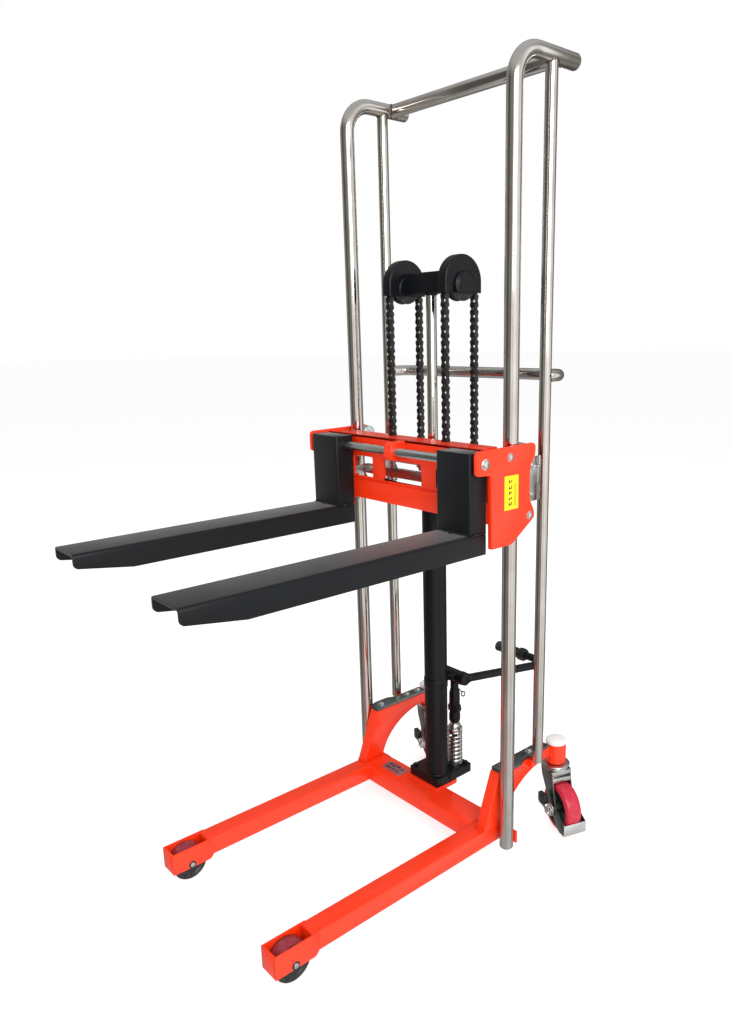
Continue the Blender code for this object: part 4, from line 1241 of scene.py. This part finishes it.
class STACKER_OT_carriage_fittings(Piece, bpy.types.Operator):
    """Fork shaft with its end bolts, chain anchor bar with its clevises, and guide rollers"""

    bl_idname = "stacker.carriage_fittings"
    bl_label = "Carriage fittings"

    def execute(self, context):
        y, z = -110, 1007
        parts = [rod(10, (-290.6, y, z), (290.6, y, z), 0.8, 48), rod(6, (-300, y, z), (300, y, z))]
        for s in (-1, 1):
            parts.append(bolt((s * 299.2, y, z), (s, 0, 0), across=17, head=5, washer=12))
        settle("fork_shaft_bar", gather(*parts), "bar", "carriage", ["fork_shaft"])

        parts = [box((-210, -33, 925), (210, -17, 948), 2, 3)]
        for s in (-1, 1):
            near, far = sorted((s * 200, s * 210))
            x, y = spot = (s * PULLEY_X, CYLINDER_Y - CHAIN_R)
            parts += [
                box((near, -75, 927), (far, -30, 946), 1.2),
                rod(5, (*spot, 914), (*spot, 974)),
                bolt((*spot, 948), Z, across=15, head=7, washer=10),
                bolt((*spot, 925), (0, 0, -1), across=15, head=7, washer=10),
                box((x - 8.5, y - 5, 966), (x + 8.5, y + 5, 974), 1),
                box((x - 8.5, y - 5, 970), (x - 6, y + 5, 992), 0.6),
                box((x + 6, y - 5, 970), (x + 8.5, y + 5, 992), 0.6),
            ]
        settle(
            "chain_anchor_beam", gather(*parts), "zinc", "carriage", ["chain_anchor_bar"],
        )

        race = mirrored([
            (5.3, -8.4), (8.6, -8.4), (9, -7.6), (13.6, -7.6), (14, -8.8), (16.2, -9), (17.2, -8),
        ])
        for name in ("top_front", "top_rear", "low_rear"):
            for side, s in SIDES:
                body = f"guide_roller_{name}_{side}"
                low, high = span(body)
                settle(
                    f"{body}_bearing", turned(race, (low + high) / 2, X, sides=48), "bar", body,
                    [body],
                )
        return {"FINISHED"}


class STACKER_OT_forks(Piece, bpy.types.Operator):
    """Folded channel forks with boxed shanks"""

    bl_idname = "stacker.forks"
    bl_label = "Forks"

    def execute(self, context):
        fold = size_mm("fork_fold")
        weld = size_mm("weld")

        def shell(section, moves, heading):
            """A sheet folded round a section and drawn along its moves."""
            bm = bmesh.new()
            verts = [bm.verts.new(point) for point in section]
            rim = [bm.edges.new(pair) for pair in zip(verts, verts[1:])]
            for move in moves:
                fresh = new_verts(bmesh.ops.extrude_edge_only(bm, edges=rim)["geom"])
                bmesh.ops.translate(bm, verts=fresh, vec=Vector(heading) * move)
                rim = joining(fresh)
            return bm

        def thicken(bm, width, steps, outward):
            """Rounds a sheet's folds, then gives it its thickness inwards."""
            soften(bm, width, steps, sharper=60)
            bmesh.ops.recalc_face_normals(bm, faces=bm.faces)
            if sum(f.normal.dot(outward) * f.calc_area() for f in bm.faces) < 0:
                bmesh.ops.reverse_faces(bm, faces=bm.faces)
            bmesh.ops.solidify(bm, geom=bm.faces[:], thickness=6)
            bmesh.ops.recalc_face_normals(bm, faces=bm.faces)
            return soften(bm, 0.8, 2, sharper=60)

        def draw_blade():
            section = [(180, -88, 806), (180, -88, 855), (282, -88, 855), (282, -88, 806)]
            bm = shell(section, [587, 122], (0, -1, 0))
            tips = [v for v in bm.verts if v.co.y < -796 and v.co.z < 810]
            bmesh.ops.translate(bm, verts=tips, vec=(0, 0, 19))
            bevel(bm, tips, 9, 5, "VERTICES")
            return thicken(bm, fold, 6, Vector(Z))

        def draw_shank():
            section = [(180, -88, 853), (180, -139.5, 853), (282, -139.5, 853), (282, -88, 853)]
            bm = thicken(shell(section, [177], Z), fold * 0.7, 5, -Vector(Y))
            lid = [(181, -138.5, 5), (281, -138.5, 5), (281, -88), (181, -88)]
            return gather(bm, slab(lid, 1023.5, 1029.4, "Z", edge=1))

        def draw_welds():
            return gather(
                seam((186, -140.6, 856), (276, -140.6, 856), weld * 1.2),
                *[seam((x, -134, 854.4), (x, -90, 854.4), weld * 0.7) for x in (178.8, 283.2)],
                bead(at(231, -144, 856), 4, 2.2, sides=24),
                *[bead(at(x, -110, 1007, 90, "Y"), 12.5, 1.2) for x in (283, 179)],
            )

        for side, s in SIDES:
            fork = gather(handed(s, draw_blade), handed(s, draw_shank))
            settle(
                f"fork_channel_{side}", fork, "fork", f"fork_{side}",
                [f"fork_{side}"],
            )
            settle(
                f"fork_welds_{side}", handed(s, draw_welds), "black_weld", f"fork_{side}",
            )
        return {"FINISHED"}


class STACKER_OT_pump(Piece, bpy.types.Operator):
    """Pump block, barrel, spring, plunger and lowering knob"""

    bl_idname = "stacker.pump"
    bl_label = "Pump"

    def execute(self, context):
        centre = (0, 90, 0)
        parts = [slab(
            [(-76, -10, 4), (34, -10, 4), (34, 120, 4), (-76, 120, 4)], 95.3, 120, "Z", edge=1.8,
            steps=3,
        )]
        parts += [
            bolt((x, y, 120), Z, across=13, head=6) for x, y in ((-64, 2), (-64, 108), (22, 108))
        ]
        parts += [
            bolt((34, 40, 108), X, across=11, head=3),
            bolt((-76, 50, 108), (-1, 0, 0), across=11, head=3),
            turned(
                [(0, 0), (11, 0), (11, 10), (8, 14), (8, 30), (0, 30)], (-52, 92, 120), edge=0.6,
            ),
        ]
        settle("pump_block_cast", gather(*parts), "black", "frame", ["pump_block"])
        barrel = [
            (0, 120.3), (17, 120.3), (17, 124), (13.4, 126), (13.4, 194), (12.6, 195), (8.6, 195),
            (8.6, 134), (0, 134),
        ]
        settle(
            "pump_barrel_tube", turned(barrel, centre, sides=40), "zinc", "frame",
            ["pump_barrel"],
        )

        turns = context.scene.stacker_sizes.spring_turns
        facets = 28                           # in each turn
        low, high, wire_r, coil_r = 123.4, 217.8, 2.9, 18.4
        spring = bmesh.new()
        start = at(coil_r, 90, low, 90, "X")
        bmesh.ops.create_circle(spring, cap_ends=True, segments=10, radius=wire_r, matrix=start)
        coil = bmesh.ops.spin(
            spring, geom=spring.edges[:], cent=centre, axis=Z,
            dvec=(0, 0, (high - low) / (turns * facets)),
            angle=2 * pi * turns, steps=turns * facets, use_merge=False, use_duplicate=False,
        )
        bmesh.ops.edgeloop_fill(spring, edges=joining(new_verts(coil["geom_last"])))
        clean(spring)
        body = ("frame", "plunger", row_point(0, 90, low), row_point(0, 90, high))
        settle("pump_spring_coil", spring, "spring", body, ["pump_spring"])

        link = [
            (0, 150), (8, 150), (8, 246), (14, 247), (15.5, 252), (15.5, 268), (13.4, 274),
            (14.6, 280),
            (14.6, 330), (11, 344), (11, 362.6), (0, 362.6),
        ]
        eyes = [
            turned(link, centre, sides=40),
            box((-16, 79, 276), (16, 101, 296), 3, 3),
            rod(9, (-18, 90, 286), (18, 90, 286), 1),
        ]
        settle("pump_link", gather(*eyes), "black", "plunger", ["pump_plunger"])
        cap = [
            (8, 219.5), (21, 219.5), (21.4, 221), (21.4, 227), (20.4, 228.6), (17.5, 229),
            (17, 233),
            (13.8, 239.5), (9.4, 243.6), (8, 245),
        ]
        cap = gather(turned(cap, centre, sides=48), box((19, 84, 218), (25, 96, 234), 1.6))
        settle("spring_cap", cap, "zinc", "plunger")
        clip = [
            rod(1.6, (10, 92, 348), (34, 86, 342), 0.3, 10),
            bead(at(38, 85, 340, 70, "X"), 6, 1.8, sides=32),
        ]
        settle("link_clip", gather(*clip), "zinc", "plunger")
        knob = [
            (0, 120.3), (9, 120.3), (9, 146), (10.5, 150), (13, 152), (13, 163), (11, 166),
            (0, 166.5),
        ]
        stem = (-52, 62, 0)
        parts = [turned(knob, stem, sides=40)]
        for i in range(12):
            ridge = box((12, -1.4, 153), (14.2, 1.4, 162.5), 0.5)
            parts.append(moved(ridge, at(*stem, 30 * i)))
        settle(
            "release_knob_grip", gather(*parts), "nylon", "release_knob",
            ["release_knob"],
        )
        return {"FINISHED"}


class STACKER_OT_foot_lever(Piece, bpy.types.Operator):
    """Clamp on the cylinder, and the foot lever with its rubber pedal sleeve"""

    bl_idname = "stacker.foot_lever"
    bl_label = "Foot lever"

    def execute(self, context):
        clamp = [collar(30.2, 31.6, 372, 398, (0, CYLINDER_Y, 0), edge=0.6, sides=64)]
        for s in (-1, 1):
            near, far = sorted((s * 5, s * 12))
            clamp += [
                slab([(54, 379), (69.5, 379, 4), (69.5, 392, 4), (54, 392)], near, far, edge=1),
                bolt((s * 19.6, 64, 385), (s, 0, 0), across=11, head=3.5),
                bolt((s * 31, CYLINDER_Y, 385), (s, 0, 0), across=9, head=3),
            ]
        clamp.append(rod(4, (-22, 64, 385), (22, 64, 385)))
        settle("lever_clamp", gather(*clamp), "black", "frame", ["lever_bracket"])

        pivot = (0, 90, 381)
        pedal_y, pedal_z, bend = 358, 366, 25
        start = Vector((36, 96, 380))
        elbow = Vector((92, pedal_y - bend, pedal_z))
        heading = elbow - start
        parts = [
            turned(
                [
                    (0, -40), (15, -40), (17, -38), (17, 44), (15.6, 46), (10, 46), (9, 44.6),
                    (0, 44.6),
                ],
                pivot, X, sides=48,
            ),
            collar(16, 18.4, 26, 34, pivot, X, edge=0.8, sides=48),
            tube(start, heading, 11, [heading.length], sides=32, ends=0),
            tube(
                elbow, Y, 11, [((92 - bend, pedal_y - bend, pedal_z), Z, 90), 153.0], sides=32,
                ends=2,
            ),
        ]
        ear = [(57, 385, 3), (60, 377, 2), (86, 377), (86, 393), (57, 393, 4)]
        parts += [slab(ear, *sorted((s * 12.8, s * 19)), edge=1) for s in (-1, 1)]
        settle(
            "foot_lever_arm", gather(*parts), "black", "foot_lever", ["foot_lever"],
        )
        joint = bead(aim(start + heading.normalized() * 9, heading), 11.6, 1.6)
        settle("foot_lever_weld", joint, "black_weld", "foot_lever")
        sleeve = [
            (11.2, -85.5), (13.6, -85.5), (15, -83.5), (15, -80), (14, -78.5), (14, -4), (16.4, -1),
            (18.6, 3),
            (18.6, 17), (16.6, 21), (13, 22), (11.2, 22),
        ]
        parts = [turned(sleeve, (0, pedal_y, pedal_z), X, sides=40)]
        parts += [collar(
            13.6, 14.7, x, x + 2.4, (0, pedal_y, pedal_z), X, edge=0.5,
        ) for x in range(-74, -8, 6)]
        settle(
            "pedal_sleeve_grip", gather(*parts), "rubber", "foot_lever",
            ["pedal_sleeve"],
        )
        return {"FINISHED"}


class STACKER_OT_labels(Piece, bpy.types.Operator):
    """Notice on the right side plate and rating plate on the crossbeam, with generic marks"""

    bl_idname = "stacker.labels"
    bl_label = "Labels"

    def execute(self, context):
        notice = slab(
            [(-49, 899, 1.5), (-4, 899, 1.5), (-4, 974, 1.5), (-49, 974, 1.5)], 298.9, 299.25,
            edge=0,
        )
        settle("notice", notice, "notice", "carriage")
        marks = [box((299.1, -16, 907), (299.35, -14, 955), 0)]
        heights = (908, 920, 932, 944, 957)
        for i, low in enumerate(heights):
            marks += [
                box((299.1, -35, low), (299.35, -32, low + 8 - i % 2 * 2), 0),
                box((299.1, -32, low + 1 + i % 3), (299.35, -26, low + 3 + i % 3), 0),
                box((299.1, -27.5, low + 3), (299.35, -24.5, low + 8 - i % 3), 0),
            ]
        settle("notice_marks", gather(*marks), "ink", "carriage")
        plate = [(-175, -35, 6), (-96, -35, 6), (-96, 4, 6), (-175, 4, 6)]
        settle(
            "rating_plate", slab(plate, 86.8, 87.5, "Z", edge=0.2, steps=1), "etched", "frame",
        )
        marks = []
        for x, y, wide, deep in (
            (-166, -10, 14, 8), (-148, -4, 10, 5), (-150, -14, 9, 7), (-136, -8, 12, 9),
            (-120, -6, 14, 3),
            (-120, -11, 14, 3), (-166, -26, 22, 9), (-138, -26, 8, 10), (-124, -27, 18, 4),
            (-124, -20, 12, 3),
        ):
            marks.append(box((x, y, 87.3), (x + wide, y + deep, 87.62), 0))
        settle("rating_marks", gather(*marks), "stamp", "frame")
        return {"FINISHED"}


class STACKER_OT_stage(Piece, bpy.types.Operator):
    """Pale floor, soft studio light and the camera"""

    bl_idname = "stacker.stage"
    bl_label = "Stage"

    def execute(self, context):
        scene = context.scene
        scene.view_settings.view_transform = "Standard"
        floor = bmesh.new()
        bmesh.ops.create_circle(floor, cap_ends=True, segments=96, radius=60)
        mesh = bpy.data.meshes.new("floor")
        floor.to_mesh(mesh)
        floor.free()
        # It glows a little, so that it meets the white world without a horizon.
        matt = {
            "Roughness": 0.9, "Specular IOR Level": 0.1, "Emission Color": (1, 1, 1, 1),
            "Emission Strength": 0.74,
        }
        mesh.materials.append(start_material("matt white floor", linear("#B4B4B4"), matt)[0])
        ground = bpy.data.objects.new("floor", mesh)
        scene.collection.objects.link(ground)
        ground.visible_glossy = False

        # The camera's own axes in the machine's frame.
        right = (0.6789, 0.7342, -0.0141)
        up = (-0.1688, 0.1746, 0.9701)
        back = (0.7146, -0.6561, 0.2424)
        turn = Matrix((right, up, back)).transposed().to_4x4()
        camera = bpy.data.cameras.new("camera")
        camera.lens, camera.sensor_width = 28.29, 36
        camera.shift_x, camera.shift_y = -0.0606, 0.0247
        camera.clip_end = 200
        shooter = bpy.data.objects.new("camera", camera)
        shooter.matrix_world = Matrix.Translation((1.41616, -1.11013, 1.26816)) @ turn
        scene.collection.objects.link(shooter)
        scene.camera = shooter

        for name, spot, size, power in (
            ("key", (3.4, -1.4, 2.6), 2.4, 110), ("fill", (-1.6, -3.6, 2.0), 2.4, 36),
            ("top", (0.2, 0.4, 4.2), 3.0, 60), ("back", (-1.5, 3.6, 2.6), 2.2, 30),
        ):
            light = bpy.data.lights.new(name, "AREA")
            light.size, light.energy = size, power
            lamp = bpy.data.objects.new(name, light)
            lamp.visible_glossy = name == "key"
            lamp.location = spot
            lamp.rotation_mode = "QUATERNION"
            lamp.rotation_quaternion = (Vector((0, 0, 0.8)) - Vector(spot)).to_track_quat("-Z", "Y")
            scene.collection.objects.link(lamp)

        world = bpy.data.worlds.new("studio")
        scene.world = world
        world.use_nodes = True
        tree = world.node_tree
        shader = tree.nodes["Background"]
        way = add_node(tree, "ShaderNodeTexCoord").outputs["Generated"]
        facing = add_node(
            tree, "ShaderNodeVectorMath", {"operation": "DOT_PRODUCT", 1: (0.9988, -0.0446, 0.0)},
            {0: way}
        )
        share = remap(tree, facing.outputs["Value"], -1, 1)
        ramp = add_node(tree, "ShaderNodeValToRGB", {}, {"Fac": share})
        stops = (
            (0.0, 0.34), (0.1, 0.3), (0.18, 0.12), (0.3, 0.08), (0.42, 0.2), (0.55, 0.26),
            (0.66, 0.2),
            (0.75, 0.36), (0.8, 1.2), (0.9, 0.8), (1.0, 1.25),
        )
        elements = ramp.color_ramp.elements
        while len(elements) < len(stops):
            elements.new(0.5)
        for element, (spot, level) in zip(elements, stops):
            element.position = spot
            element.color = (
                level, level * 0.955, level * 0.9, 1,
            ) if level < 1 else (level, level, level, 1)
        height = add_node(tree, "ShaderNodeSeparateXYZ", {}, {0: way}).outputs["Z"]
        overhead = remap(tree, height, 0.35, 0.85, curve="SMOOTHSTEP")
        upward = mix(tree, overhead, ramp.outputs["Color"], (0.55, 0.55, 0.56, 1))
        underfoot = remap(tree, height, -0.45, -0.85, curve="SMOOTHSTEP")
        downward = mix(tree, underfoot, upward, (0.5, 0.49, 0.48, 1))
        seen = add_node(tree, "ShaderNodeLightPath").outputs["Is Camera Ray"]
        wire(tree, shader, {"Color": mix(tree, seen, downward, (1, 1, 1, 1))})
        return {"FINISHED"}


OPERATORS = (
    STACKER_OT_mast, STACKER_OT_brace, STACKER_OT_legs, STACKER_OT_load_rollers,
    STACKER_OT_crossbeam, STACKER_OT_brackets, STACKER_OT_foot_plates, STACKER_OT_casters,
    STACKER_OT_lift, STACKER_OT_crosshead, STACKER_OT_chains, STACKER_OT_carriage,
    STACKER_OT_carriage_fittings, STACKER_OT_forks, STACKER_OT_pump, STACKER_OT_foot_lever,
    STACKER_OT_labels, STACKER_OT_stage,
)


class STACKER_PT_pieces(bpy.types.Panel):
    """Sidebar panel with the sizes, the colours and a button for each piece"""

    bl_label = "Walkie stacker"
    bl_idname = "STACKER_PT_pieces"
    bl_space_type = "VIEW_3D"
    bl_region_type = "UI"
    bl_category = "Stacker"

    def draw(self, context):
        column = self.layout.column()
        for group in (context.scene.stacker_sizes, context.scene.stacker_colours):
            for key in type(group).__annotations__:
                column.prop(group, key)
        for operator in OPERATORS:
            column.operator(operator.bl_idname)


CLASSES = (StackerSizes, StackerColours, *OPERATORS, STACKER_PT_pieces)


def register():
    for cls in CLASSES:
        bpy.utils.register_class(cls)
    bpy.types.Scene.stacker_sizes = PointerProperty(type=StackerSizes)
    bpy.types.Scene.stacker_colours = PointerProperty(type=StackerColours)


def unregister():
    del bpy.types.Scene.stacker_colours
    del bpy.types.Scene.stacker_sizes
    for cls in reversed(CLASSES):
        bpy.utils.unregister_class(cls)


def main():
    register()
    FINISHES.update(make_finishes())
    for operator in OPERATORS:
        group, name = operator.bl_idname.split(".")
        getattr(getattr(bpy.ops, group), name)()


if __name__ == "__main__":
    main()
